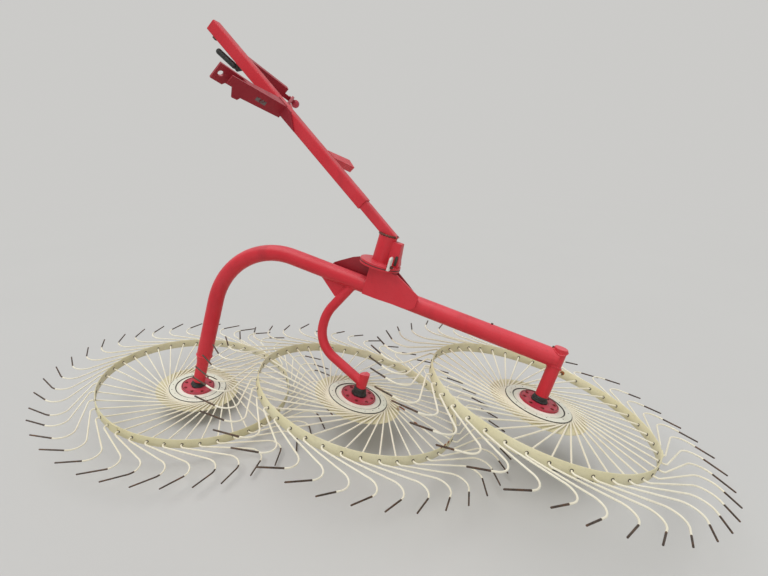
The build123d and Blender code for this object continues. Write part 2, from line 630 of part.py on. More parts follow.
def build():
    """Every node in the rake's own frame."""
    nodes["main_beam"] = main_beam()
    nodes["left_leg_end"] = leg_end()
    nodes["centre_arm"] = centre_arm()
    nodes["centre_stub"] = centre_stub()
    nodes["arm_gusset"] = arm_gusset()
    nodes["right_socket"] = right_socket()
    wheel, plate, hub = reel_wheel(), reel_plate(), reel_hub()
    for name, x, z, lean_x, lean_y, gap in REEL_TABLE:
        place = reel_place(x, z, lean_x, lean_y)
        nodes[f"{name}_reel"] = place * wheel
        nodes[f"{name}_hub_plate"] = place * plate
        nodes[f"{name}_hub"] = place * hub
        nodes[f"{name}_axle"] = axle(x, z, lean_x, lean_y, FLANGE_TOP + LEG_END_GAP + AXLE_GRIP)
        nodes[f"{name}_seal"] = seal(x, z, lean_x, lean_y, gap)
    for name, holder in (("left", "left_leg_end"), ("centre", "centre_stub"), ("right", "right_socket")):
        nodes[holder] = nodes[holder] - nodes[f"{name}_axle"]
    nodes["saddle_front"] = saddle_front()
    nodes["saddle_back"] = saddle_back()
    nodes["swivel_post"] = swivel_post()
    nodes["lock_pin"] = lock_pin()
    nodes["swivel_sleeve"] = swivel_sleeve() - nodes["lock_pin"]
    nodes["lock_box"] = lock_box()
    nodes["boom_inner"] = boom_inner()
    nodes["boom_outer"] = square_tube(BOOM_OUTER, BOOM_WALL, BOOM_START, BOOM_END)
    place = boom_place(0)
    ear = link_ear()
    nodes["near_link_ear"] = place * ear
    nodes["near_brace"] = place * near_brace()
    nodes["far_link_ear"] = place * ear.mirror(Plane.XZ)
    nodes["far_brace"] = place * (far_brace() - ear).mirror(Plane.XZ)
    nodes["far_strut"] = place * far_strut().mirror(Plane.XZ)
    nodes["far_link_pin"] = place * far_link_pin().mirror(Plane.XZ)
    nodes["boom_bracket"] = place * boom_bracket().mirror(Plane.XZ)
    lug = grip_lug()
    nodes["grip_lug"] = place * lug
    nodes["head_grip"] = place * (head_grip() - lug)


def parked_place(parts):
    """Lean of the parked rake, with its box's bottom middle at the origin."""
    lean = Rot(PARK_LEAN_BACK, PARK_LEAN_SIDE, 0)
    boxes = [(lean * part).bounding_box() for part in parts.values()]
    middle_x = (min(box.min.X for box in boxes) + max(box.max.X for box in boxes)) / 2
    middle_y = (min(box.min.Y for box in boxes) + max(box.max.Y for box in boxes)) / 2
    return Pos(-middle_x, -middle_y, -min(box.min.Z for box in boxes)) * lean


build()
parked = parked_place(nodes)
os.makedirs("parts", exist_ok=True)
for name, part in nodes.items():
    export_step(parked * part, f"parts/{name}.step")
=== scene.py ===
import json
import math
import random

import bmesh
import bpy
from mathutils import Matrix, Vector, noise


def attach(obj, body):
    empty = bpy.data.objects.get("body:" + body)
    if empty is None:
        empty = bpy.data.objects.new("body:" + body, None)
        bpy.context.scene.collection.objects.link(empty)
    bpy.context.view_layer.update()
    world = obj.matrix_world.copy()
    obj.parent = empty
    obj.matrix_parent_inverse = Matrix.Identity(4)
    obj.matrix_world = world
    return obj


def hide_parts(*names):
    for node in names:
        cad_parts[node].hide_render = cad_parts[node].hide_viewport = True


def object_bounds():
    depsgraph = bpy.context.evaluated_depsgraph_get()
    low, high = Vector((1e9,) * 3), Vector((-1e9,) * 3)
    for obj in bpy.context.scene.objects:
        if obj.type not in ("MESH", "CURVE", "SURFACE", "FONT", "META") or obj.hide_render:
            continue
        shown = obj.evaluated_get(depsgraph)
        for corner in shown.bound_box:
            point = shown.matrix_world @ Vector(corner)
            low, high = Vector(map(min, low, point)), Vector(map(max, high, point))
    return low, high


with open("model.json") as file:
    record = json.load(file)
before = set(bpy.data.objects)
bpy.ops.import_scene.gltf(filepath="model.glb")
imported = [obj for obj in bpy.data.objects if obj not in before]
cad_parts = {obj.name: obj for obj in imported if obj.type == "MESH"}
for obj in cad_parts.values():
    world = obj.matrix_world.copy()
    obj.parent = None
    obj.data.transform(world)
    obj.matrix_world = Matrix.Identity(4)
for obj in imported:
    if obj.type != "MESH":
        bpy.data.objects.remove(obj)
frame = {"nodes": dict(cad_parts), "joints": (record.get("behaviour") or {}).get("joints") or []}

# Looks of the wheel rake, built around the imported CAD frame. Lengths are in metres. Most
# places are given in the rake's own frame: x along the main beam, z up the reel axles, y
# behind the beam, with the centre reel's middle at the origin.

CAD_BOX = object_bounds()
JOINTS = {joint["name"]: joint for joint in frame["joints"]}
NODES = frame["nodes"]

# Places and sizes shared with the CAD frame.
BEAM_Z = 0.489
BEAM_RADIUS = 0.0365
LEFT_X, LEFT_Z = -0.812, -0.321
RIGHT_X, RIGHT_Z = 0.712, 0.300
ARM_RADIUS = 0.0212
ARM_FOOT_Z = 0.060
ARM_FOOT_SLOPE = math.radians(-19.95)
STUB_RADIUS = 0.02225
LEG_TAPER_TOP = 0.171
SOCKET_RADIUS = 0.026
SOCKET_TOP = 0.5345
POST_X = -0.080
DISC_THICKNESS = 0.010
POST_RADIUS, POST_TOP = 0.030, 0.7204
SLEEVE_RADIUS = 0.039
SLEEVE_BOTTOM, SLEEVE_TOP = 0.6084, 0.7264
SADDLE_TOP = 0.588
SADDLE_PLATE = 0.008
DISC_GAP_Z = 0.5982
BOOM_BASE_Z = 0.729
BOOM_ANGLE = math.radians(149.6)
BOOM_OUTER, BOOM_OUTER_WALL = 0.050, 0.0045
BOOM_OUTER_START, BOOM_OUTER_END = 0.163, 1.183
BOOM_INNER, BOOM_INNER_WALL = 0.0404, 0.004
BOOM_INNER_START, BOOM_INNER_END = -0.020, 0.780
BRACE_TIP, BRACE_ROOT = (0.789, 0.279), (0.680, 0.025)
BRACE_THICKNESS = 0.006
LINK_ALONG, LINK_OUT, LINK_DROP = 0.841, 0.270, 0.020
EAR_ROOT_ALONG, EAR_THICKNESS = 0.710, 0.012

# Sizes and places of what is reshaped or added here on the frame, the mast and the boom.
DISC_RADIUS = 0.0875
ARM_TOP_X, ARM_TOP_STRETCH = -0.178, 1.12
GUSSET_BEAD_X, GUSSET_BEAD_Y = (-0.314, -0.196), 0.0045
END_CAP_RADIUS, END_CAP_THICKNESS = 0.0345, 0.003
SADDLE_OUT = 0.0445
DISC_GAP_HALF = 0.0016
DISC_EDGE = 0.001
POST_PLAY = 0.0004
GUSSET_BEAD, PLATE_BEAD, POST_BEAD = 0.0024, 0.0026, 0.003
LOCK_GUIDE_HALF, LOCK_GUIDE_TOP = 0.023, SLEEVE_BOTTOM + 0.100
LOCK_PIN_PLACE, LOCK_PIN_HEIGHTS = (-0.022, -0.060), (0.5984, 0.6524)
LOCK_PIN_RADIUS, LOCK_PIN_BEND = 0.0058, 0.009
BOOM_OUTER_CORNER, BOOM_INNER_CORNER = 0.006, 0.005
EAR_NOSE_RADIUS = 0.020
STOP_PAD_PLACE, STOP_PAD_SIZE = (1.131, 0.016), (0.018, 0.014, 0.0065)
EYE_PLACE, EYE_RADIUS, EYE_WIRE = (0.981, 0.004, -0.040), 0.009, 0.0022
LABEL_RUN, LABEL_HEIGHT, LABEL_SIZE = 0.160, -0.013, (0.052, 0.0008, 0.017)

# Reel sizes.
TINE_COUNT = 40
TINE_PITCH = 360 / TINE_COUNT
REEL_PHASE = 4.8
RIM_RADIUS, RIM_HEIGHT, RIM_THICKNESS = 0.450, 0.044, 0.004
RIM_ROLL, RIM_SOFT, RIM_INSET = 0.002, 0.0005, 0.001
LAP_THICKNESS, LAP_SPAN, LAP_STEPS = 0.003, 7, 6
DASH_BEAD, DASH_HEIGHT, DASH_STEPS = 0.0021, 0.0030, 8
WIRE_RADIUS = 0.0034
HUB_Z = -0.015
TINE_OFFSET = 0.131
TINE_INNER_RADIUS = 0.133
TINE_HOOK = (0.537, 0.273)
TINE_KNEE_OUT = 0.023
TINE_KNEE_RADIUS, TINE_HOOK_RADIUS = 0.017, 0.055
TIP_RADIUS, TIP_ANGLE = 0.704, math.radians(15.2)
SPOKE_STEP, HOOK_STEP = 0.06, 0.02
TIP_THINNING, TIP_LEFT, TIP_LENGTH = 0.12, 0.45, 0.002
WORN_LEAST = 0.6
LOWER_PLATE_RADIUS, LOWER_PLATE_TOP = 0.196, -0.0171
UPPER_PLATE_RADIUS, UPPER_PLATE_TOP = 0.136, -0.0069
RECESS_RADIUS, RECESS_DEPTH = 0.106, 0.0024
PLATE_THICKNESS = 0.004
HOUSING_RADIUS = 0.038
FLANGE_RADIUS, FLANGE_TOP = 0.078, 0.0011
RIVET_PLACES, RIVETS_LOST, RIVET_RING = 18, 0.12, 0.119
HUB_BOLTS, HUB_BOLT_RING, HUB_BOLT_TURN = 8, 0.0615, 12
HUB_BOLT_SIZE, HUB_BOLT_HOLE = 0.0095, 0.0078
BOOT_GAP, BOOT_BORE, BOOT_SLUMP = 0.0011, 0.0155, 0.0022

# Bends of the tines in radians: their usual spread, and the range that a few hard ones add.
HARD_BENDS = 0.12
YAW_SPREAD, YAW_HARD = 0.008, (-0.05, 0.05)
PITCH_SPREAD, PITCH_HARD = 0.007, (-0.05, 0.06)
CURL_SPREAD, CURL_FROM = 0.012, 0.2


def rake_frame():
    """Place of the rake's own frame, from the axes of its centre and right reels."""
    origin = Vector(JOINTS["centre_reel_spin"]["pos_m"])
    z = Vector(JOINTS["centre_reel_spin"]["axis"]).normalized()
    x = (Vector(JOINTS["right_reel_spin"]["pos_m"]) - origin - RIGHT_Z * z).normalized()
    return Matrix.Translation(origin) @ Matrix((x, z.cross(x), z)).transposed().to_4x4()


def boom_frame():
    """The boom's frame: x along the boom, y out to the near side, z square to both."""
    along = Vector((math.cos(BOOM_ANGLE), 0, math.sin(BOOM_ANGLE)))
    up = Vector((math.sin(BOOM_ANGLE), 0, -math.cos(BOOM_ANGLE)))
    turn = Matrix((along, up.cross(along), up)).transposed().to_4x4()
    return RAKE @ Matrix.Translation((POST_X, 0, BOOM_BASE_Z)) @ turn


def reel_frame(x, z, lean_x, lean_y):
    """Frame of one reel, with z up its axle."""
    lean = Matrix.Rotation(math.radians(lean_y), 4, "X") @ Matrix.Rotation(math.radians(lean_x), 4, "Y")
    return RAKE @ Matrix.Translation((x, 0, z)) @ lean


RAKE = rake_frame()
BOOM = boom_frame()
REELS = (
    # name, frame, seed of its wear, height of its rubber boot, longest worn tine end
    ("left", reel_frame(LEFT_X, LEFT_Z, -6.2, 7.0), 11, 0.0215, 0.120),
    ("centre", reel_frame(0, 0, 0, 0), 23, 0.0375, 0.100),
    ("right", reel_frame(RIGHT_X, RIGHT_Z, 0, 0), 37, 0.0255, 0.085),
)
RIM_DASHES = {
    # angles of the dark dashes under a rim, in degrees
    "right": ((-97, -90), (-83, -76), (-73, -66)),
}
RUST_SPOTS = (
    # place in the rake's frame, reach
    ((0.440, -0.094, 0.019), 0.014),
    ((0.432, -0.126, 0.020), 0.012),
    ((0.423, -0.154, 0.020), 0.009),
    ((0.194, 0.056, -0.015), 0.026),
    ((0.283, -0.021, -0.015), 0.022),
    ((0.816, 0.438, 0.305), 0.015),
)


# Materials


class Nodes:
    """Shorthand for building one material's node tree."""

    def __init__(self, name):
        self.material = bpy.data.materials.new(name)
        self.material.use_nodes = True
        self.tree = self.material.node_tree
        self.tree.nodes.clear()
        self.output = self.tree.nodes.new("ShaderNodeOutputMaterial")
        places = self.tree.nodes.new("ShaderNodeTexCoord")
        self.coords, self.normal = places.outputs["Object"], places.outputs["Normal"]

    def add(self, kind, inputs=(), **settings):
        """New node with its inputs set or linked and its settings applied."""
        node = self.tree.nodes.new(kind)
        for key, value in settings.items():
            setattr(node, key, value)
        for key, value in dict(inputs).items():
            if isinstance(value, bpy.types.NodeSocket):
                self.tree.links.new(value, node.inputs[key])
            else:
                node.inputs[key].default_value = value
        return node

    def noise(self, scale, detail=4.0, roughness=0.6, stretch=None):
        """Noise value over the surface, from 0 to 1."""
        vector = self.coords
        if stretch:
            vector = self.add("ShaderNodeMapping", {"Vector": vector, "Scale": stretch}).outputs[0]
        node = self.add("ShaderNodeTexNoise", {
            "Vector": vector, "Scale": scale, "Detail": detail, "Roughness": roughness})
        return node.outputs["Fac"]

    def ramp(self, value, low, high):
        """Value remapped so that low gives 0 and high gives 1."""
        node = self.add("ShaderNodeMapRange", {"Value": value, "From Min": low, "From Max": high})
        return node.outputs[0]

    def combine(self, operation, a, b):
        """Number that a math operation makes of a and b."""
        return self.add("ShaderNodeMath", {0: a, 1: b}, operation=operation).outputs[0]

    def times(self, a, b):
        """Product of a and b."""
        return self.combine("MULTIPLY", a, b)

    def measure(self, operation, a, b):
        """Number that a vector operation makes of a and b."""
        return self.add("ShaderNodeVectorMath", {0: a, 1: b}, operation=operation).outputs["Value"]

    def mix(self, share, a, b):
        """Colour between a and b."""
        node = self.add("ShaderNodeMix", {"Factor": share}, data_type="RGBA")
        for index, colour in ((6, a), (7, b)):
            if isinstance(colour, bpy.types.NodeSocket):
                self.tree.links.new(colour, node.inputs[index])
            else:
                node.inputs[index].default_value = (*colour, 1)
        return node.outputs[2]

    def bump(self, height, strength, distance):
        """Normal that follows a height."""
        node = self.add("ShaderNodeBump", {"Height": height, "Strength": strength, "Distance": distance})
        return node.outputs[0]

    def finish(self, colour, roughness, normal=None, **fixed):
        """Connects the shader and returns the material."""
        shader = self.add("ShaderNodeBsdfPrincipled")
        for key, value in fixed.items():
            shader.inputs[key.replace("_", " ")].default_value = value
        for key, value in (("Base Color", colour), ("Roughness", roughness), ("Normal", normal)):
            if isinstance(value, bpy.types.NodeSocket):
                self.tree.links.new(value, shader.inputs[key])
            elif value is not None:
                shader.inputs[key].default_value = (*value, 1) if key == "Base Color" else value
        self.tree.links.new(shader.outputs[0], self.output.inputs[0])
        return self.material


def enamel(name, fresh, faded, grime, bare, wear, rough, spots=(), painted_sheen=None):
    """Weathered enamel: faded patches, tops lightened as a painted sky highlight, dirt in streaks, chips and
    spots of rust.
    """
    n = Nodes(name)
    fade = n.ramp(n.noise(3.5, 5), 0.35, 0.68)
    colour = n.mix(fade, fresh, faded)
    if painted_sheen:
        # Painted highlight: faces that point up are lightened towards the sheen colour, as the sky would
        # light them.
        upward = n.ramp(n.measure("DOT_PRODUCT", n.normal, (0, 0, 1)), 0.50, 0.98)
        colour = n.mix(n.times(upward, n.ramp(fade, -1.0, 1.6)), colour, painted_sheen)
    streak = n.ramp(n.noise(9, 6, 0.65, (1, 1, 0.35)), 0.54, 0.80)
    colour = n.mix(n.times(streak, 0.45), colour, grime)
    speck = n.ramp(n.noise(210, 3, 0.5), 0.60, 0.70)
    colour = n.mix(n.times(speck, 0.26), colour, grime)
    patch = n.noise(13, 8, 0.72)
    chip = n.ramp(patch, wear, wear + 0.025)
    for place, reach in spots:
        away = n.measure("DISTANCE", n.coords, tuple(RAKE @ Vector(place)))
        ragged = n.combine("ADD", away, n.times(patch, reach))
        chip = n.combine("MAXIMUM", chip, n.ramp(ragged, 1.35 * reach, 1.15 * reach))
    rim = n.ramp(patch, wear - 0.05, wear)
    colour = n.mix(n.times(rim, 0.25), colour, grime)
    rust = n.mix(n.noise(90, 4), bare, tuple(0.45 * c for c in bare))
    colour = n.mix(chip, colour, rust)
    roughness = n.ramp(n.noise(22, 5), -rough, 2.6 - 2.6 * rough)
    scratched = n.combine("ADD", roughness, n.times(chip, 0.35))
    peel = n.bump(n.noise(320, 2), 0.10, 0.001)
    lumps = n.add("ShaderNodeBump", {
        "Height": chip, "Strength": 0.5, "Distance": 0.0006, "Normal": peel}, invert=True).outputs[0]
    return n.finish(colour, scratched, lumps, Specular_IOR_Level=0.4)


def rubber(name, colour):
    """Aged black rubber, dusty on top, with a coarse skin."""
    n = Nodes(name)
    dust = n.ramp(n.noise(60, 6, 0.7), 0.45, 0.8)
    tone = n.mix(n.times(dust, 0.35), colour, (0.10, 0.11, 0.095))
    rough = n.ramp(n.noise(40, 3), -0.6, 1.4)
    return n.finish(tone, rough, n.bump(n.noise(150, 5), 0.35, 0.001))


def worn_steel(name, dark, light, rust, amount, metallic):
    """Steel worn bare and browned: dark skin, polished streaks and rust bloom."""
    n = Nodes(name)
    tone = n.mix(n.ramp(n.noise(70, 5), 0.35, 0.7), dark, light)
    bloom = n.ramp(n.noise(34, 7, 0.7), 1 - amount - 0.12, 1 - amount + 0.1)
    tone = n.mix(bloom, tone, rust)
    rough = n.ramp(n.noise(120, 4), -0.5, 1.6)
    return n.finish(tone, rough, n.bump(n.noise(260, 4), 0.3, 0.0008), Metallic=metallic)


RED = enamel("red_enamel", (0.60, 0.016, 0.030), (0.64, 0.036, 0.052), (0.24, 0.014, 0.020),
             (0.20, 0.060, 0.030), 0.735, 0.34, painted_sheen=(0.80, 0.12, 0.15))
# Darker copy of the red: on the saddle's back plate and the hub bolts' heads it is painted shade; on weld
# beads it is their own darker tone.
RED_DARK = enamel("red_enamel_dark", (0.26, 0.010, 0.018), (0.33, 0.016, 0.026), (0.10, 0.007, 0.010),
                  (0.14, 0.045, 0.026), 0.70, 0.42)
RED_SHADED = enamel("red_enamel_shaded", (0.27, 0.010, 0.021), (0.33, 0.018, 0.030), (0.14, 0.010, 0.014),
                    (0.16, 0.050, 0.028), 0.72, 0.40, painted_sheen=(0.86, 0.24, 0.27))
HUB_RED = enamel("hub_red", (0.46, 0.030, 0.055), (0.52, 0.060, 0.090), (0.17, 0.030, 0.036),
                 (0.30, 0.16, 0.13), 0.69, 0.30)
CREAM = enamel("cream_enamel", (0.64, 0.59, 0.37), (0.70, 0.65, 0.46), (0.34, 0.29, 0.16),
               (0.30, 0.13, 0.05), 0.71, 0.38)
CREAM_PALE = enamel("cream_enamel_pale", (0.72, 0.73, 0.60), (0.79, 0.78, 0.67), (0.46, 0.45, 0.33),
                    (0.34, 0.22, 0.13), 0.715, 0.36)
CREAM_LIP = enamel("cream_enamel_lip", (0.80, 0.71, 0.63), (0.84, 0.76, 0.69), (0.52, 0.40, 0.32),
                   (0.40, 0.20, 0.14), 0.73, 0.36)
CREAM_RIM = enamel("cream_enamel_rim", (0.70, 0.64, 0.40), (0.76, 0.71, 0.50), (0.36, 0.31, 0.17),
                   (0.40, 0.13, 0.035), 0.71, 0.42, RUST_SPOTS)
WIRE_CREAM = enamel("wire_cream", (0.84, 0.78, 0.61), (0.88, 0.84, 0.70), (0.50, 0.43, 0.29),
                    (0.34, 0.13, 0.05), 0.725, 0.34, RUST_SPOTS)
TIP_STEEL = worn_steel("tip_steel", (0.040, 0.026, 0.018), (0.100, 0.068, 0.050), (0.15, 0.070, 0.032),
                       0.40, 0.30)
BARE_STEEL = worn_steel("bare_steel", (0.34, 0.32, 0.29), (0.62, 0.60, 0.56), (0.26, 0.13, 0.07), 0.30, 0.85)
ZINC = worn_steel("worn_zinc", (0.62, 0.58, 0.54), (0.84, 0.80, 0.76), (0.34, 0.20, 0.14), 0.24, 0.30)
# Dark rust: rust alone on the beam's bolts and the pin's seat; rust and painted shade in the weld ring at the
# sleeve's top.
RUSTY_WELD_AND_SHADE = worn_steel("rusty_weld_and_painted_shade", (0.075, 0.022, 0.018), (0.17, 0.040, 0.032), (0.14, 0.045, 0.024),
                        0.45, 0.25)
FADED_LABEL = enamel("faded_label", (0.125, 0.110, 0.105), (0.165, 0.150, 0.145), (0.10, 0.020, 0.024),
                     (0.20, 0.012, 0.020), 0.58, 0.50)
# Black rubber; also the thin black ring of painted shade between the saddle's discs.
BLACK_RUBBER_AND_SHADE = rubber("black_rubber_and_painted_shade", (0.012, 0.013, 0.012))
# Grommets: dark rubber, which also stands for painted shade round the wires at the rim.
GROMMET_AND_SHADE = rubber("grommet_rubber_and_shade", (0.030, 0.020, 0.014))
# Very dark tone: painted shade on the hub plates, round the hub bolts and beside the lock's guide; grime and
# small dark parts elsewhere.
GRIME_AND_SHADE = rubber("grime_and_painted_shade", (0.035, 0.028, 0.018))


# Mesh code


def round_angles(count):
    """Angles of that many even steps round a circle."""
    return [2 * math.pi * step / count for step in range(count)]


def polar(radius, angle, height=0.0):
    """Point at a radius and an angle about z."""
    return Vector((radius * math.cos(angle), radius * math.sin(angle), height))


class Shape:
    """Points and faces of one piece, each face with the number of its material."""

    def __init__(self):
        self.points, self.faces, self.materials = [], [], []

    def add(self, mesh, place=None, material=0):
        """Adds (points, faces) at a place."""
        first = len(self.points)
        for point in mesh[0]:
            self.points.append(place @ Vector(point) if place else Vector(point))
        for face in mesh[1]:
            self.faces.append([first + index for index in face])
            self.materials.append(material)
        return self


def lathe(profile, steps=64, closed=False):
    """Profile of (radius, height) turned about z. A closed profile joins its last point to its first."""
    count = len(profile)
    points = [polar(radius, angle, height) for angle in round_angles(steps) for radius, height in profile]
    faces = []
    for step in range(steps):
        here, there = step * count, (step + 1) % steps * count
        for row in range(count if closed else count - 1):
            after = (row + 1) % count
            faces.append((here + row, there + row, there + after, here + after))
    return points, faces


def tube(line, radius, sides=10, closed=False, caps=True):
    """Round tube along a line of points. The radius is one number or one for each point."""
    count = len(line)
    radii = radius if isinstance(radius, (list, tuple)) else [radius] * count
    points, faces = [], []
    side = None
    for index, point in enumerate(line):
        before = line[(index - 1) % count] if closed or index else line[0]
        after = line[(index + 1) % count] if closed or index < count - 1 else line[-1]
        ahead = (after - before).normalized()
        if side is None:
            side = ahead.orthogonal().normalized()
        side = (side - ahead * side.dot(ahead)).normalized()
        up = ahead.cross(side)
        for angle in round_angles(sides):
            points.append(point + radii[index] * (math.cos(angle) * side + math.sin(angle) * up))
    for index in range(count if closed else count - 1):
        here, there = index * sides, (index + 1) % count * sides
        for turn in range(sides):
            after = (turn + 1) % sides
            faces.append((here + turn, here + after, there + after, there + turn))
    if caps and not closed:
        faces.append(tuple(reversed(range(sides))))
        faces.append(tuple(range((count - 1) * sides, count * sides)))
    return points, faces


def taken_from(bm):
    """Points and faces of a bmesh, which is freed."""
    bm.verts.index_update()
    points = [vert.co.copy() for vert in bm.verts]
    faces = [[vert.index for vert in face.verts] for face in bm.faces]
    bm.free()
    return points, faces


def rounded_box(size, bevel, steps=3):
    """Box with rounded edges, centred on its place."""
    bm = bmesh.new()
    bmesh.ops.create_cube(bm, size=1.0, matrix=Matrix.Diagonal((*size, 1)))
    bmesh.ops.bevel(bm, geom=bm.edges[:], offset=bevel, segments=steps, profile=0.5, affect="EDGES")
    return taken_from(bm)


def plate(outline, low, high, bevel):
    """Flat plate from an outline of (x, y) points, with softened edges."""
    bm = bmesh.new()
    face = bm.faces.new([bm.verts.new((x, y, low)) for x, y in outline])
    grown = bmesh.ops.extrude_face_region(bm, geom=[face])
    for item in grown["geom"]:
        if isinstance(item, bmesh.types.BMVert):
            item.co.z = high
    bmesh.ops.recalc_face_normals(bm, faces=bm.faces)
    bmesh.ops.bevel(bm, geom=bm.edges[:], offset=bevel, segments=2, profile=0.6, affect="EDGES")
    return taken_from(bm)


def upright_plate(outline, back, thickness, bevel):
    """Plate that stands along x, from an outline of (x, z) points, with its back face at y = back."""
    stand = Matrix(((1, 0, 0, 0), (0, 0, -1, back), (0, 1, 0, 0), (0, 0, 0, 1)))
    return Shape().add(plate(outline, 0, thickness, bevel), stand)


def rounded_line(corners, radii, step=0.004):
    """Points along straight runs joined by arcs of the given radii."""
    line = [corners[0].copy()]
    for before, corner, after, radius in zip(corners, corners[1:], corners[2:], radii):
        back, ahead = (before - corner).normalized(), (after - corner).normalized()
        half = back.angle(ahead) / 2
        reach = radius / math.tan(half)
        centre = corner + (back + ahead).normalized() * (radius / math.sin(half))
        start, end = corner + back * reach - centre, corner + ahead * reach - centre
        turn = start.angle(end)
        count = max(3, math.ceil(turn * radius / step))
        axis = start.cross(end).normalized()
        line += [centre + Matrix.Rotation(turn * i / count, 3, axis) @ start for i in range(count + 1)]
    line.append(corners[-1].copy())
    return line


def split_line(line, longest):
    """The same line with its long runs divided."""
    out = [line[0]]
    for a, b in zip(line, line[1:]):
        count = max(1, math.ceil((b - a).length / longest))
        out += [a.lerp(b, i / count) for i in range(1, count + 1)]
    return out


def hexagon_head(across, height):
    """Hexagon head with a chamfered top, standing on z = 0."""
    radius = across / math.sqrt(3)
    return lathe([(0, 0), (radius, 0), (radius, height * 0.86), (radius * 0.9, height), (0, height)], 6)


def dome_rivet(radius, height):
    """Low domed head standing on z = 0."""
    profile = [(radius, 0), (radius, height * 0.25)]
    profile += [(radius * math.cos(a), height * (0.25 + 0.75 * math.sin(a))) for a in (0.35, 0.7, 1.1)]
    return lathe([*profile, (0, height)], 14)


def weld(line, radius, seed, closed=False):
    """Lumpy weld bead along a line."""
    rng = random.Random(seed)
    fine = split_line([*line, line[0]] if closed else line, radius * 0.9)
    if closed:
        fine.pop()
    radii = [radius * (1 + 0.22 * math.sin(2.1 * i) + rng.uniform(-0.12, 0.12)) for i in range(len(fine))]
    return tube(fine, radii, 8, closed)


def piece(name, shape, materials, body, nodes=(), at=Matrix(), sharp=38):
    """Makes one object of the shape, riding on a body and standing for the named CAD nodes."""
    mesh = bpy.data.meshes.new(name)
    mesh.from_pydata([tuple(at @ point) for point in shape.points], [], shape.faces)
    for material in materials:
        mesh.materials.append(material)
    mesh.polygons.foreach_set("material_index", shape.materials)
    bm = bmesh.new()
    bm.from_mesh(mesh)
    bmesh.ops.remove_doubles(bm, verts=bm.verts, dist=1e-6)
    bmesh.ops.recalc_face_normals(bm, faces=bm.faces)
    bm.to_mesh(mesh)
    bm.free()
    mesh.shade_smooth()
    mesh.set_sharp_from_angle(angle=math.radians(sharp))
    obj = bpy.data.objects.new(name, mesh)
    bpy.context.scene.collection.objects.link(obj)
    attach(obj, body)
    if nodes:
        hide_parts(*nodes)
    return obj


def dress(node, material):
    """Gives a CAD node its material."""
    mesh = NODES[node].data
    mesh.materials.clear()
    mesh.materials.append(material)


def on_axis(point, axis):
    """Place at a point with z along an axis."""
    return Matrix.Translation(point) @ Vector(axis).to_track_quat("Z", "Y").to_matrix().to_4x4()


# Reels


def tine_angles():
    """Angles of a reel's tines, at the rim band."""
    return [math.radians(REEL_PHASE + TINE_PITCH * step) for step in range(TINE_COUNT)]


def tine_line():
    """One tine in its reel's frame: its end at the hub, and its line from the rim band outwards."""
    foot = math.sqrt(RIM_RADIUS ** 2 - TINE_OFFSET ** 2)
    out = Vector((foot, -TINE_OFFSET, 0)) / RIM_RADIUS
    inner = foot - math.sqrt(TINE_INNER_RADIUS ** 2 - TINE_OFFSET ** 2)
    rim = Vector((RIM_RADIUS, 0, 0))
    hub_end = rim - out * inner + Vector((0, 0, HUB_Z))
    corners = [rim, rim + out * TINE_KNEE_OUT, Vector((*TINE_HOOK, 0)), polar(TIP_RADIUS, TIP_ANGLE)]
    outside = rounded_line(corners, [TINE_KNEE_RADIUS, TINE_HOOK_RADIUS])
    return hub_end, split_line(outside, HOOK_STEP)


def bent_tine(rng, reel, turn, hub_end, outside):
    """One tine's line with its own small bends, kept above the floor."""
    rim = outside[0]
    spin = Matrix.Rotation(turn, 4, "Z")
    hard = rng.random() < HARD_BENDS
    yaw = rng.gauss(0, YAW_SPREAD) + (rng.uniform(*YAW_HARD) if hard else 0)
    pitch = rng.gauss(0, PITCH_SPREAD) + (rng.uniform(*PITCH_HARD) if hard else 0)
    curl = rng.gauss(0, CURL_SPREAD)
    for lift in (pitch, abs(pitch) / 2, 0.0):
        line = []
        for point in outside:
            arm = point - rim
            reach = arm.length
            moved = Matrix.Rotation(yaw, 3, "Z") @ arm
            moved.z += lift * reach + curl * max(0.0, reach - CURL_FROM) / 2
            line.append(rim + moved)
        world = [reel @ spin @ point for point in line]
        if min(point.z for point in world) > WIRE_RADIUS / 2:
            break
    else:
        line = list(outside)
    spoke = split_line([hub_end, rim], SPOKE_STEP)[:-1]
    return [spin @ point for point in spoke + line]


def worn_from(line, length):
    """Number of the point where the worn end of that length begins."""
    total = 0.0
    for index in range(len(line) - 1, 0, -1):
        total += (line[index] - line[index - 1]).length
        if total >= length:
            return index - 1
    return 0


def tines(name, reel, seed, worn):
    """Forty round tines: cream wire with ends worn to brown steel."""
    rng = random.Random(seed)
    shape = Shape()
    hub_end, outside = tine_line()
    for turn in tine_angles():
        line = bent_tine(rng, reel, turn, hub_end, outside)
        cut = worn_from(line, rng.uniform(WORN_LEAST, 1.0) * worn)
        count = len(line)
        thin = [WIRE_RADIUS * (1 - TIP_THINNING * max(0, i - cut) / (count - cut)) for i in range(count)]
        shape.add(tube(line[:cut + 1], thin[:cut + 1], 9, caps=False), material=0)
        tail = line[cut:]
        tail.append(tail[-1] + (tail[-1] - tail[-2]).normalized() * TIP_LENGTH)
        shape.add(tube(tail, [*thin[cut:], WIRE_RADIUS * TIP_LEFT], 9), material=1)
    piece(f"{name}_tines", shape, [WIRE_CREAM, TIP_STEEL], f"reel_{name}", at=reel)


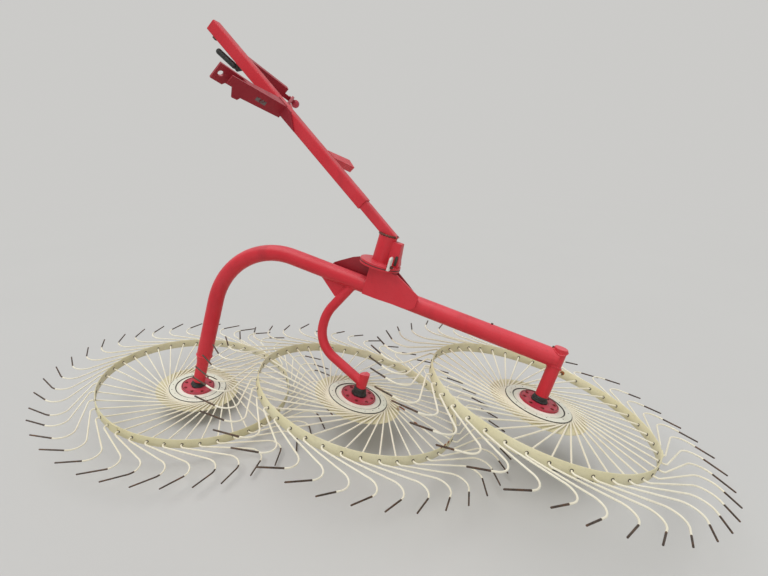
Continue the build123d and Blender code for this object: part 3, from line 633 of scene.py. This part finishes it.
def rim_band(name, reel, seed):
    """Rim band with rolled edges, its lap joint and the dark dashes under it."""
    half, r = RIM_HEIGHT / 2, RIM_RADIUS
    inner, outer = r - RIM_THICKNESS / 2, r + RIM_THICKNESS / 2
    side, lip = half - RIM_ROLL, half - RIM_SOFT
    profile = [
        (inner, -side), (inner, side), (inner + RIM_INSET, lip), (r, half), (outer - RIM_INSET, lip),
        (outer, side), (outer, -side), (outer - RIM_INSET, -lip), (r, -half), (inner + RIM_INSET, -lip),
    ]
    shape = Shape().add(lathe(profile, 240, closed=True))
    rng = random.Random(seed)
    lap = math.radians(REEL_PHASE + TINE_PITCH / 2 + TINE_PITCH * rng.randrange(TINE_COUNT))
    under, over, rise = outer - RIM_SOFT, outer + LAP_THICKNESS, half - RIM_INSET
    strip = [(under, -rise), (under, rise), (over, rise), (over, -rise)]
    points, faces = [], []
    for step in range(LAP_STEPS + 1):
        angle = lap + math.radians(LAP_SPAN * step / LAP_STEPS - LAP_SPAN / 2)
        points += [polar(radius, angle, height) for radius, height in strip]
    for here in range(0, 4 * LAP_STEPS, 4):
        faces += [(here + k, here + (k + 1) % 4, here + 4 + (k + 1) % 4, here + 4 + k) for k in range(4)]
    faces += [(3, 2, 1, 0), tuple(4 * LAP_STEPS + k for k in range(4))]
    shape.add((points, faces))
    for start, end in RIM_DASHES.get(name, ()):
        turns = [math.radians(start + (end - start) * i / DASH_STEPS) for i in range(DASH_STEPS + 1)]
        bead = [polar(outer - 0.0006, turn, -half + DASH_HEIGHT) for turn in turns]
        shape.add(weld(bead, DASH_BEAD, seed), None, 1)
    piece(f"{name}_rim", shape, [CREAM_RIM, BLACK_RUBBER_AND_SHADE], f"reel_{name}", [f"{name}_reel"],
          at=reel)


def grommets(name, reel):
    """Dark rubber rings that seat the tines in the rim band; their dark colour also paints the shade in the
    band's openings round the wires.
    """
    w = WIRE_RADIUS
    ring = [(w, -0.0038), (w * 1.55, -0.0042), (w * 1.8, -0.0030), (w * 1.6, -0.0018), (w * 1.6, 0.0018),
            (w * 1.8, 0.0030), (w * 1.55, 0.0042), (w, 0.0038)]
    rings = Shape()
    for turn in tine_angles():
        spot = polar(RIM_RADIUS, turn)
        rings.add(lathe(ring, 16, closed=True), on_axis(spot, spot))
    piece(f"{name}_grommets", rings, [GROMMET_AND_SHADE], f"reel_{name}", at=reel)


def hub_plates(name, reel, seed):
    """Lower plate under the tines and the pressed upper plate with its rivets."""
    top, under = LOWER_PLATE_TOP, LOWER_PLATE_TOP - PLATE_THICKNESS
    r = LOWER_PLATE_RADIUS
    profile = [
        (HOUSING_RADIUS, under), (HOUSING_RADIUS, top), (r * 0.8, top), (r - 0.006, top),
        (r - 0.001, top - 0.0012), (r, top - 0.003), (r - 0.001, under), (r * 0.8, under),
    ]
    lower = Shape().add(lathe(profile, 120, closed=True))
    piece(f"{name}_lower_plate", lower, [CREAM], f"reel_{name}", at=reel)
    top, under = UPPER_PLATE_TOP, UPPER_PLATE_TOP - PLATE_THICKNESS
    r, edge = UPPER_PLATE_RADIUS, FLANGE_RADIUS
    floor, seam = top - RECESS_DEPTH, RECESS_RADIUS
    # Painted shade: strips of material 1 are dark under the flange and along the plate's outer edge and
    # underside; at the recess wall they paint shade and grime.
    rows = (
        # radius, height, material of the strip that follows
        (HOUSING_RADIUS, top - 0.001, 1),
        (edge - 0.002, top - 0.001, 3),
        (edge + 0.0015, top + 0.0008, 3),
        (edge + 0.006, top + 0.0004, 3),
        (edge + 0.011, floor, 0),
        (seam - 0.0045, floor, 1),
        (seam - 0.001, floor + 0.0002, 1),
        (seam + 0.001, top - 0.0002, 0),
        (seam + 0.003, top, 0),
        (r - 0.008, top, 0),
        (r - 0.0028, top - 0.0010, 1),
        (r, top - 0.003, 1),
        (r - 0.0005, under, 1),
        (HOUSING_RADIUS, under, 1),
    )
    shape = Shape().add(lathe([(radius, height) for radius, height, _ in rows], 120, closed=True))
    shape.materials = [rows[index % len(rows)][2] for index in range(len(shape.faces))]
    rng = random.Random(seed)
    # Painted shade: the rivet heads are dark dots.
    for step in range(RIVET_PLACES):
        if rng.random() < RIVETS_LOST:
            continue
        angle = 2 * math.pi * (step + 0.3 + rng.uniform(-0.08, 0.08)) / RIVET_PLACES
        spot = polar(RIVET_RING + rng.uniform(-0.003, 0.003), angle, top - 0.0001)
        shape.add(dome_rivet(rng.uniform(0.0018, 0.0026), 0.0009), Matrix.Translation(spot), 1)
    piece(f"{name}_upper_plate", shape, [CREAM_PALE, GRIME_AND_SHADE, CREAM, CREAM_LIP], f"reel_{name}",
          [f"{name}_hub_plate"], at=reel)


def hub_dress(name, reel, seed):
    """Bolts on dark rings of painted shade, and the stepped edge of the red hub flange with its dark groove
    line.
    """
    rng = random.Random(seed)
    shape = Shape()
    z, edge = FLANGE_TOP, FLANGE_RADIUS
    for step in range(HUB_BOLTS):
        angle = math.radians(360 / HUB_BOLTS * step + HUB_BOLT_TURN)
        spot = Matrix.Translation(polar(HUB_BOLT_RING, angle, z))
        # Painted shade: each bolt stands on a dark ring and has a dark head, for the shade of its recess.
        hole = [(0, 0.0004), (HUB_BOLT_HOLE, 0.0004), (HUB_BOLT_HOLE + 0.0004, -0.001)]
        shape.add(lathe(hole, 20), spot, 1)
        shape.add(hexagon_head(HUB_BOLT_SIZE, 0.004), spot @ Matrix.Rotation(rng.uniform(0, 1), 4, "Z"), 2)
    groove = [(edge - 0.0056, z - 0.001), (edge - 0.0056, z + 0.0003), (edge - 0.0026, z + 0.0003),
              (edge - 0.0026, z - 0.001)]
    lip = [(edge - 0.0028, z - 0.001), (edge - 0.0028, z + 0.0009), (edge - 0.0016, z + 0.0014),
           (edge, z + 0.0009), (edge + 0.0004, z - 0.0005), (edge + 0.0004, z - 0.005)]
    collar = [(0.0385, z - 0.001), (0.0385, z + 0.0009), (0.046, z + 0.0009), (0.049, z - 0.001)]
    shape.add(lathe(groove, 96, closed=True), None, 1)
    shape.add(lathe(lip, 96, closed=True))
    shape.add(lathe(collar, 64, closed=True))
    piece(f"{name}_hub_bolts", shape, [HUB_RED, GRIME_AND_SHADE, RED_DARK], f"reel_{name}", at=reel)
    dress(f"{name}_hub", HUB_RED)


def boot(name, reel, seed, height):
    """Rubber boot between hub flange and leg, slumped out of round."""
    low = FLANGE_TOP + BOOT_GAP
    span = height - BOOT_GAP
    rows = (
        # radius, share of the height
        (BOOT_BORE, 0), (0.0320, 0), (0.0335, 0.07), (0.0330, 0.24), (0.0296, 0.34), (0.0306, 0.48),
        (0.0276, 0.60), (0.0284, 0.76), (0.0256, 0.90), (0.0246, 1), (BOOT_BORE, 1),
    )
    points, faces = lathe([(radius, low + span * share) for radius, share in rows], 72, closed=True)
    moved = []
    for p in points:
        # The bore keeps its shape.
        if p.xy.length > 1.1 * BOOT_BORE:
            rise = (p.z - low) / span
            swell = 1 + 0.09 * noise.noise(p * 48 + Vector((seed, 0, 0))) + 0.04 * noise.noise(p * 150)
            slump = BOOT_SLUMP * math.sin(math.pi * rise)
            p = Vector((p.x * swell - slump, p.y * swell, p.z))
        moved.append(p)
    shape = Shape().add((moved, faces))
    piece(f"{name}_boot", shape, [BLACK_RUBBER_AND_SHADE], "frame", [f"{name}_seal"], at=reel, sharp=60)


for reel_name, reel_at, reel_seed, boot_height, worn_length in REELS:
    tines(reel_name, reel_at, reel_seed, worn_length)
    rim_band(reel_name, reel_at, reel_seed)
    grommets(reel_name, reel_at)
    hub_plates(reel_name, reel_at, reel_seed)
    hub_dress(reel_name, reel_at, reel_seed)
    boot(reel_name, reel_at, reel_seed, boot_height)
    dress(f"{reel_name}_axle", BARE_STEEL)


# Frame and mast


def level_ring(x, radius, height, count):
    """Level circle of points about an upright axis on the beam's middle."""
    return [Vector((x + radius * math.cos(a), radius * math.sin(a), height)) for a in round_angles(count)]


def ring_on_beam(x, radius, side, stretch=1.0):
    """Line where an upright tube meets the beam's top (side 1) or underside (side -1)."""
    line = []
    for angle in round_angles(40):
        y = radius * math.sin(angle)
        z = BEAM_Z + side * math.sqrt(BEAM_RADIUS ** 2 - y ** 2)
        line.append(Vector((x + stretch * radius * math.cos(angle), y, z)))
    return line


def arm_foot_ring():
    """Line where the centre arm's foot meets its stub."""
    along = Vector((math.cos(ARM_FOOT_SLOPE), 0, math.sin(ARM_FOOT_SLOPE)))
    up = Vector((-along.z, 0, along.x))
    line = []
    for angle in round_angles(40):
        y = ARM_RADIUS * math.sin(angle)
        side = ARM_RADIUS * math.cos(angle) * up + Vector((0, y, ARM_FOOT_Z))
        reach = (-math.sqrt(STUB_RADIUS ** 2 - y ** 2) - side.x) / along.x
        line.append(side + reach * along)
    return line


def frame_details():
    """Weld beads, end caps and small bolts of the fixed frame."""
    shape = Shape()
    socket = SOCKET_RADIUS + 0.001
    rings = (
        # line, radius of its bead, seed
        (ring_on_beam(RIGHT_X, socket, 1), 0.0034, 1),
        (ring_on_beam(RIGHT_X, socket, -1), 0.0034, 2),
        (level_ring(LEFT_X, BEAM_RADIUS, LEFT_Z + LEG_TAPER_TOP, 48), 0.0028, 3),
        (ring_on_beam(ARM_TOP_X, ARM_RADIUS, -1, ARM_TOP_STRETCH), 0.0030, 4),
        (arm_foot_ring(), 0.0030, 6),
    )
    for line, radius, seed in rings:
        shape.add(weld(line, radius, seed, True))
    for y in (-GUSSET_BEAD_Y, GUSSET_BEAD_Y):
        shape.add(weld([Vector((x, y, BEAM_Z - BEAM_RADIUS)) for x in GUSSET_BEAD_X], GUSSET_BEAD, 5))
    disc = [(p.x, p.y) for p in level_ring(0, END_CAP_RADIUS, 0, 40)]
    shape.add(plate(disc, 0, END_CAP_THICKNESS, 0.0008), on_axis((RIGHT_X - 0.0002, 0, BEAM_Z), (1, 0, 0)))
    r, top = SOCKET_RADIUS, SOCKET_TOP
    lid = [(0, top - 0.0003), (r + 0.0006, top - 0.003), (r + 0.0008, top - 0.001), (r - 0.001, top + 0.0012),
           (0, top + 0.0016)]
    shape.add(lathe(lid, 48, closed=True), Matrix.Translation((RIGHT_X, 0, 0)))
    bolts = (
        # place along the beam, size across its flats
        (0.684, 0.010),
        (0.436, 0.008),
    )
    for x, size in bolts:
        seat = Matrix.Translation((x, 0, BEAM_Z + BEAM_RADIUS - 0.001))
        shape.add(hexagon_head(size, size * 0.75), seat, 1)
    piece("frame_details", shape, [RED, RUSTY_WELD_AND_SHADE], "frame", at=RAKE)


def saddle_details():
    """Weld beads of the saddle and a dark ring of painted shade in the gap between the two discs."""
    shape = Shape()
    inner = SADDLE_OUT - SADDLE_PLATE
    beads = (
        # start and end of each bead as (x, y, z)
        ((-0.106, -SADDLE_OUT, SADDLE_TOP), (0.012, -SADDLE_OUT, SADDLE_TOP)),
        ((-0.184, inner, SADDLE_TOP), (-0.016, inner, SADDLE_TOP)),
        ((-0.107, -inner, 0.521), (-0.107, -inner, 0.463)),
    )
    for index, (start, end) in enumerate(beads):
        shape.add(weld([Vector(start), Vector(end)], PLATE_BEAD, 20 + index))
    shape.add(weld(level_ring(POST_X, POST_RADIUS, SADDLE_TOP, 40), POST_BEAD, 30, True))
    # Painted shade: a thin black ring where the two discs meet.
    low, high = DISC_GAP_Z - DISC_GAP_HALF, DISC_GAP_Z + DISC_GAP_HALF
    inside, outside = DISC_RADIUS - 0.001, DISC_RADIUS + 0.0004
    gap = [(inside, low), (outside, low), (outside, high), (inside, high)]
    shape.add(lathe(gap, 96, closed=True), Matrix.Translation((POST_X, 0, 0)), 1)
    piece("saddle_details", shape, [RED_DARK, BLACK_RUBBER_AND_SHADE], "frame", at=RAKE)


def saddle_back():
    """Plate behind the beam that the post and its disc stand on, in the darker red as painted shade."""
    outline = [
        (-0.176, 0.461), (-0.299, 0.513), (-0.295, 0.524), (-0.268, 0.543), (-0.217, 0.576),
        (-0.190, SADDLE_TOP), (-0.014, SADDLE_TOP), (0.060, 0.543), (0.103, 0.514), (0.104, 0.482),
        (0.092, 0.470), (-0.044, 0.461),
    ]
    shape = upright_plate(outline, SADDLE_OUT, SADDLE_PLATE, 0.0010)
    piece("saddle_back_plate", shape, [RED_DARK], "frame", ["saddle_back"], at=RAKE)


def post_and_disc():
    """Fixed post of the swivel with the lower disc."""
    low, high, r = SADDLE_TOP, SADDLE_TOP + DISC_THICKNESS, DISC_RADIUS
    foot = BEAM_Z + BEAM_RADIUS
    profile = [
        (0, foot), (POST_RADIUS, foot), (POST_RADIUS, low), (r - DISC_EDGE, low), (r, low + DISC_EDGE),
        (r, high - DISC_EDGE), (r - DISC_EDGE, high), (POST_RADIUS, high), (POST_RADIUS, POST_TOP),
        (0, POST_TOP),
    ]
    shape = Shape().add(lathe(profile, 96, closed=True), Matrix.Translation((POST_X, 0, 0)))
    piece("post_and_disc", shape, [RED], "frame", ["swivel_post"], at=RAKE)


def mast_details():
    """Weld rings on the sleeve, a dark block of painted shadow beside the lock's guide and the pin's seat on
    the disc.
    """
    shape = Shape()
    rings = (
        # height, radius of the ring, radius of its bead, material
        # The top ring is dark: rust and painted shade in the joint.
        (SLEEVE_TOP, SLEEVE_RADIUS - 0.002, 0.0052, 1),
        (SLEEVE_BOTTOM, SLEEVE_RADIUS + 0.001, 0.0032, 0),
    )
    for height, radius, bead, kind in rings:
        shape.add(weld(level_ring(POST_X, radius, height, 56), bead, 40 + kind, True), None, kind)
    blocks = (
        # size, place, material
        # The first block is a dark block of painted shadow beside the lock's guide.
        ((0.011, 0.010, 0.040), (-0.012, -0.027, 0.637), 2),
        ((0.026, 0.014, 0.010), (-0.020, -0.060, SLEEVE_BOTTOM + 0.005), 1),
    )
    for size, place, kind in blocks:
        shape.add(rounded_box(size, 0.0015), Matrix.Translation(place), kind)
    piece("mast_details", shape, [RED, RUSTY_WELD_AND_SHADE, GRIME_AND_SHADE], "mast", at=RAKE)


def sleeve_and_disc():
    """Swivel sleeve with the upper disc, closed on top."""
    low, high, r = SLEEVE_BOTTOM - DISC_THICKNESS, SLEEVE_BOTTOM, DISC_RADIUS
    bore, bore_top = POST_RADIUS + POST_PLAY, POST_TOP + POST_PLAY
    profile = [
        (bore, low), (r - DISC_EDGE, low), (r, low + DISC_EDGE), (r, high - DISC_EDGE), (r - DISC_EDGE, high),
        (SLEEVE_RADIUS, high), (SLEEVE_RADIUS, SLEEVE_TOP - 0.0012), (SLEEVE_RADIUS - 0.0012, SLEEVE_TOP),
        (0, SLEEVE_TOP), (0, bore_top), (bore, bore_top),
    ]
    shape = Shape().add(lathe(profile, 96, closed=True), Matrix.Translation((POST_X, 0, 0)))
    piece("sleeve_and_disc", shape, [RED], "mast", ["swivel_sleeve"], at=RAKE)


def lock_guide():
    """Guide box of the lock pin, on the sleeve's side."""
    outline = [(-0.0495, SLEEVE_BOTTOM), (-0.001, SLEEVE_BOTTOM), (0.003, 0.618), (-0.003, 0.642),
               (-0.011, LOCK_GUIDE_TOP), (-0.0495, LOCK_GUIDE_TOP)]
    shape = upright_plate(outline, LOCK_GUIDE_HALF, 2 * LOCK_GUIDE_HALF, 0.0012)
    piece("lock_guide", shape, [RED], "mast", ["lock_box"], at=RAKE)


def lock_pin():
    """Lock pin with its hooked top."""
    x, y = LOCK_PIN_PLACE
    low, high = LOCK_PIN_HEIGHTS
    corners = [Vector((x, y, low)), Vector((x, y, high)), Vector((x + 0.002, y - 0.027, high)),
               Vector((x + 0.004, y - 0.031, 0.602))]
    line = rounded_line(corners, [LOCK_PIN_BEND, LOCK_PIN_BEND], 0.002)
    shape = Shape().add(tube(line, LOCK_PIN_RADIUS, 14))
    piece("lock_pin_rod", shape, [ZINC], "mast", ["lock_pin"], at=RAKE)


# Boom


def square_ring(half, corner, steps=5):
    """Rounded square outline, as (y, z) points."""
    out = []
    for quarter in range(4):
        centre = Vector((half - corner, half - corner))
        for step in range(steps + 1):
            a = math.pi / 2 * step / steps
            p = centre + corner * Vector((math.cos(a), math.sin(a)))
            turn = Matrix.Rotation(math.pi / 2 * quarter, 2)
            out.append(turn @ p)
    return out


def square_tube(size, wall, corner, start, end, mitre=None):
    """Rounded square tube along x. The mitre is a function that moves the points of its start."""
    outside = square_ring(size / 2, corner)
    inside = square_ring(size / 2 - wall, max(0.001, corner - wall))
    count = len(outside)
    rows = ((outside, start), (outside, end), (inside, end), (inside, start))
    points, faces = [], []
    for ring, x in rows:
        row = [Vector((x, p[0], p[1])) for p in ring]
        if mitre and x == start:
            row = [mitre(p) for p in row]
        points += row
    for row in range(4):
        here, there = row * count, (row + 1) % 4 * count
        for k in range(count):
            after = (k + 1) % count
            faces.append((here + k, here + after, there + after, there + k))
    return points, faces


def on_sleeve_top(point):
    """Point moved along the boom to the sleeve's top."""
    rise = math.sin(BOOM_ANGLE)
    z = BOOM_BASE_Z + point.x * rise - point.z * math.cos(BOOM_ANGLE)
    return Vector((point.x + (SLEEVE_TOP - z) / rise, point.y, point.z))


def boom_tubes():
    """The two telescopic square tubes with rolled corners."""
    tubes = (
        # name, node, body, size, wall, corner, start, end, mitre
        ("boom_inner_tube", "boom_inner", "mast", BOOM_INNER, BOOM_INNER_WALL, BOOM_INNER_CORNER,
         BOOM_INNER_START, BOOM_INNER_END, on_sleeve_top),
        ("boom_outer_tube", "boom_outer", "boom", BOOM_OUTER, BOOM_OUTER_WALL, BOOM_OUTER_CORNER,
         BOOM_OUTER_START, BOOM_OUTER_END, None),
    )
    for name, node, body, *sizes in tubes:
        piece(name, Shape().add(square_tube(*sizes)), [RED], body, [node], at=BOOM, sharp=50)


def on_near_brace(run, height):
    """Place on the brace's face towards the mast, that far in from its tip, with x along it."""
    tip, root = Vector((*BRACE_TIP, 0)), Vector((*BRACE_ROOT, 0))
    inward = (root - tip).normalized()
    square = Vector((inward.y, -inward.x, 0))
    spot = tip + inward * run + square * (BRACE_THICKNESS / 2) + Vector((0, 0, height))
    return Matrix.Translation(spot) @ Matrix((inward, square, inward.cross(square))).transposed().to_4x4()


def far_ear():
    """Far link ear, with a nose rounded about the pin."""
    tip = Vector((LINK_ALONG, -LINK_OUT, 0))
    root = Vector((EAR_ROOT_ALONG, -BOOM_OUTER / 2, 0))
    inward, run = (root - tip).normalized(), (root - tip).length
    r = EAR_NOSE_RADIUS
    turns = [math.radians(-95 - 14 * i) for i in range(13)]
    nose = [(r * math.cos(turn), -LINK_DROP + r * math.sin(turn)) for turn in turns]
    outline = [(0.060, -0.042), *nose, (0.055, 0.010), (run + 0.004, 0.014), (run + 0.004, -0.030)]
    up = Vector((0, 0, 1))
    at = Matrix.Translation(tip) @ Matrix((inward, up, inward.cross(up))).transposed().to_4x4()
    ear = Shape().add(plate(outline, -EAR_THICKNESS / 2, EAR_THICKNESS / 2, 0.001), at)
    piece("far_ear_plate", ear, [RED_SHADED], "boom", ["far_link_ear"], at=BOOM)


def boom_details():
    """Welds, blank label, stop pad and eye ring of the hitch head."""
    shape = Shape()
    half = BOOM_OUTER / 2
    beads = (
        # start and end of each bead as (along, out to the near side, height)
        ((0.718, half, 0.012), (0.718, half, -0.022)),
        ((0.718, -half, 0.012), (0.718, -half, -0.022)),
        ((0.681, half, 0.0255), (0.734, half, 0.0255)),
        ((0.677, half, 0.022), (0.677, half, -0.024)),
        ((0.652, -half, 0.0155), (0.706, -half, 0.0155)),
        ((0.975, -half, 0.019), (0.975, -half, -0.024)),
    )
    for index, (start, end) in enumerate(beads):
        shape.add(weld([Vector(start), Vector(end)], PLATE_BEAD, 50 + index))
    pad = Matrix.Translation((*STOP_PAD_PLACE, -half - 0.0022))
    shape.add(rounded_box(STOP_PAD_SIZE, 0.0012), pad, 1)
    x, y, z = EYE_PLACE
    eye = [Vector((x + EYE_RADIUS * math.cos(a), y, z + EYE_RADIUS * math.sin(a))) for a in round_angles(24)]
    shape.add(tube(eye, EYE_WIRE, 8, True), None, 1)
    shape.add(rounded_box(LABEL_SIZE, 0.0003, 2), on_near_brace(LABEL_RUN, LABEL_HEIGHT), 2)
    piece("boom_details", shape, [RED_DARK, GRIME_AND_SHADE, FADED_LABEL], "boom", at=BOOM)


frame_details()
saddle_details()
saddle_back()
post_and_disc()
mast_details()
sleeve_and_disc()
lock_guide()
lock_pin()
boom_tubes()
far_ear()
boom_details()

FINISHES = (
    # material, nodes that wear it
    (RED, ("main_beam", "left_leg_end", "centre_arm", "centre_stub", "arm_gusset", "right_socket",
           "saddle_front", "far_brace", "boom_bracket")),
    (RED_SHADED, ("near_brace", "near_link_ear", "far_strut")),
    (HUB_RED, ("far_link_pin",)),
    (BLACK_RUBBER_AND_SHADE, ("head_grip", "grip_lug")),
)
for finish, names in FINISHES:
    for node_name in names:
        dress(node_name, finish)


# Floor, light and camera


BACKDROP = (0.600, 0.595, 0.580)
FLOOR_TONES = (0.555, 0.550, 0.536), (0.575, 0.570, 0.556)
FLOOR_FADE = 3.5, 9.0
SKY_COLOUR, SKY_STRENGTH = (0.96, 0.98, 1.0), 0.50
SUN_COLOUR = (1.0, 0.99, 0.97)
# The photograph's camera, in the rake's frame.
CAMERA_PLACE = (0.4563, -1.9213, 1.0498)
CAMERA_RIGHT = (0.9068, 0.3115, 0.2842)
CAMERA_FORWARD = (-0.2381, 0.9345, -0.2647)
CAMERA_LENS, CAMERA_SENSOR = 22.78, 36.0


def stage():
    """Wide pale floor that fades into the backdrop's colour."""
    n = Nodes("floor_pale")
    far = n.add("ShaderNodeVectorMath", {0: n.coords}, operation="LENGTH").outputs["Value"]
    fade = n.ramp(far, *FLOOR_FADE)
    tone = n.mix(n.noise(0.8, 3), *FLOOR_TONES)
    near = n.add("ShaderNodeBsdfPrincipled", {
        "Base Color": tone, "Roughness": 0.9, "Specular IOR Level": 0.2})
    away = n.add("ShaderNodeEmission", {"Color": (*BACKDROP, 1), "Strength": 1.0})
    mixed = n.add("ShaderNodeMixShader", {0: fade, 1: near.outputs[0], 2: away.outputs[0]})
    n.tree.links.new(mixed.outputs[0], n.output.inputs[0])
    mesh = bpy.data.meshes.new("floor")
    points, faces = lathe([(0.0, 0.0), (3.0, 0.0), (12.0, 0.0), (60.0, 0.0)], 48)
    mesh.from_pydata(points, [], faces)
    mesh.materials.append(n.material)
    floor = bpy.data.objects.new("floor", mesh)
    floor.location = (0, 0, CAD_BOX[0].z - 0.0005)
    bpy.context.scene.collection.objects.link(floor)


def sky():
    """Even light all round, behind a plain backdrop."""
    world = bpy.data.worlds.new("studio")
    bpy.context.scene.world = world
    world.use_nodes = True
    tree = world.node_tree
    tree.nodes.clear()
    path = tree.nodes.new("ShaderNodeLightPath")
    seen = path.outputs["Is Camera Ray"]
    for kind in ("Is Glossy Ray", "Is Transmission Ray"):
        either = tree.nodes.new("ShaderNodeMath")
        either.operation = "MAXIMUM"
        tree.links.new(seen, either.inputs[0])
        tree.links.new(path.outputs[kind], either.inputs[1])
        seen = either.outputs[0]
    lit = tree.nodes.new("ShaderNodeBackground")
    lit.inputs["Color"].default_value = (*SKY_COLOUR, 1)
    lit.inputs["Strength"].default_value = SKY_STRENGTH
    shown = tree.nodes.new("ShaderNodeBackground")
    shown.inputs["Color"].default_value = (*BACKDROP, 1)
    mix = tree.nodes.new("ShaderNodeMixShader")
    out = tree.nodes.new("ShaderNodeOutputWorld")
    tree.links.new(seen, mix.inputs[0])
    tree.links.new(lit.outputs[0], mix.inputs[1])
    tree.links.new(shown.outputs[0], mix.inputs[2])
    tree.links.new(mix.outputs[0], out.inputs[0])


def sun(name, source, strength, spread):
    """Soft distant light that comes from the direction of source."""
    light = bpy.data.lights.new(name, "SUN")
    light.energy = strength
    light.angle = math.radians(spread)
    light.color = SUN_COLOUR
    obj = bpy.data.objects.new(name, light)
    obj.rotation_euler = Vector(source).to_track_quat("Z", "Y").to_euler()
    bpy.context.scene.collection.objects.link(obj)


def camera():
    """Camera at the photograph's place, given in the rake's frame."""
    right = Vector(CAMERA_RIGHT).normalized()
    forward = Vector(CAMERA_FORWARD).normalized()
    up = right.cross(forward).normalized()
    right = forward.cross(up).normalized()
    turn = Matrix((right, up, -forward)).transposed().to_4x4()
    data = bpy.data.cameras.new("photo_camera")
    data.sensor_width = CAMERA_SENSOR
    data.lens = CAMERA_LENS
    obj = bpy.data.objects.new("photo_camera", data)
    obj.matrix_world = RAKE @ Matrix.Translation(CAMERA_PLACE) @ turn
    bpy.context.scene.collection.objects.link(obj)
    bpy.context.scene.camera = obj


stage()
sky()
sun("overcast_top", (-0.25, -0.10, 1.0), 1.60, 50)
sun("overcast_front", (0.45, -1.0, 0.55), 0.55, 60)
camera()
bpy.context.scene.view_settings.view_transform = "Standard"
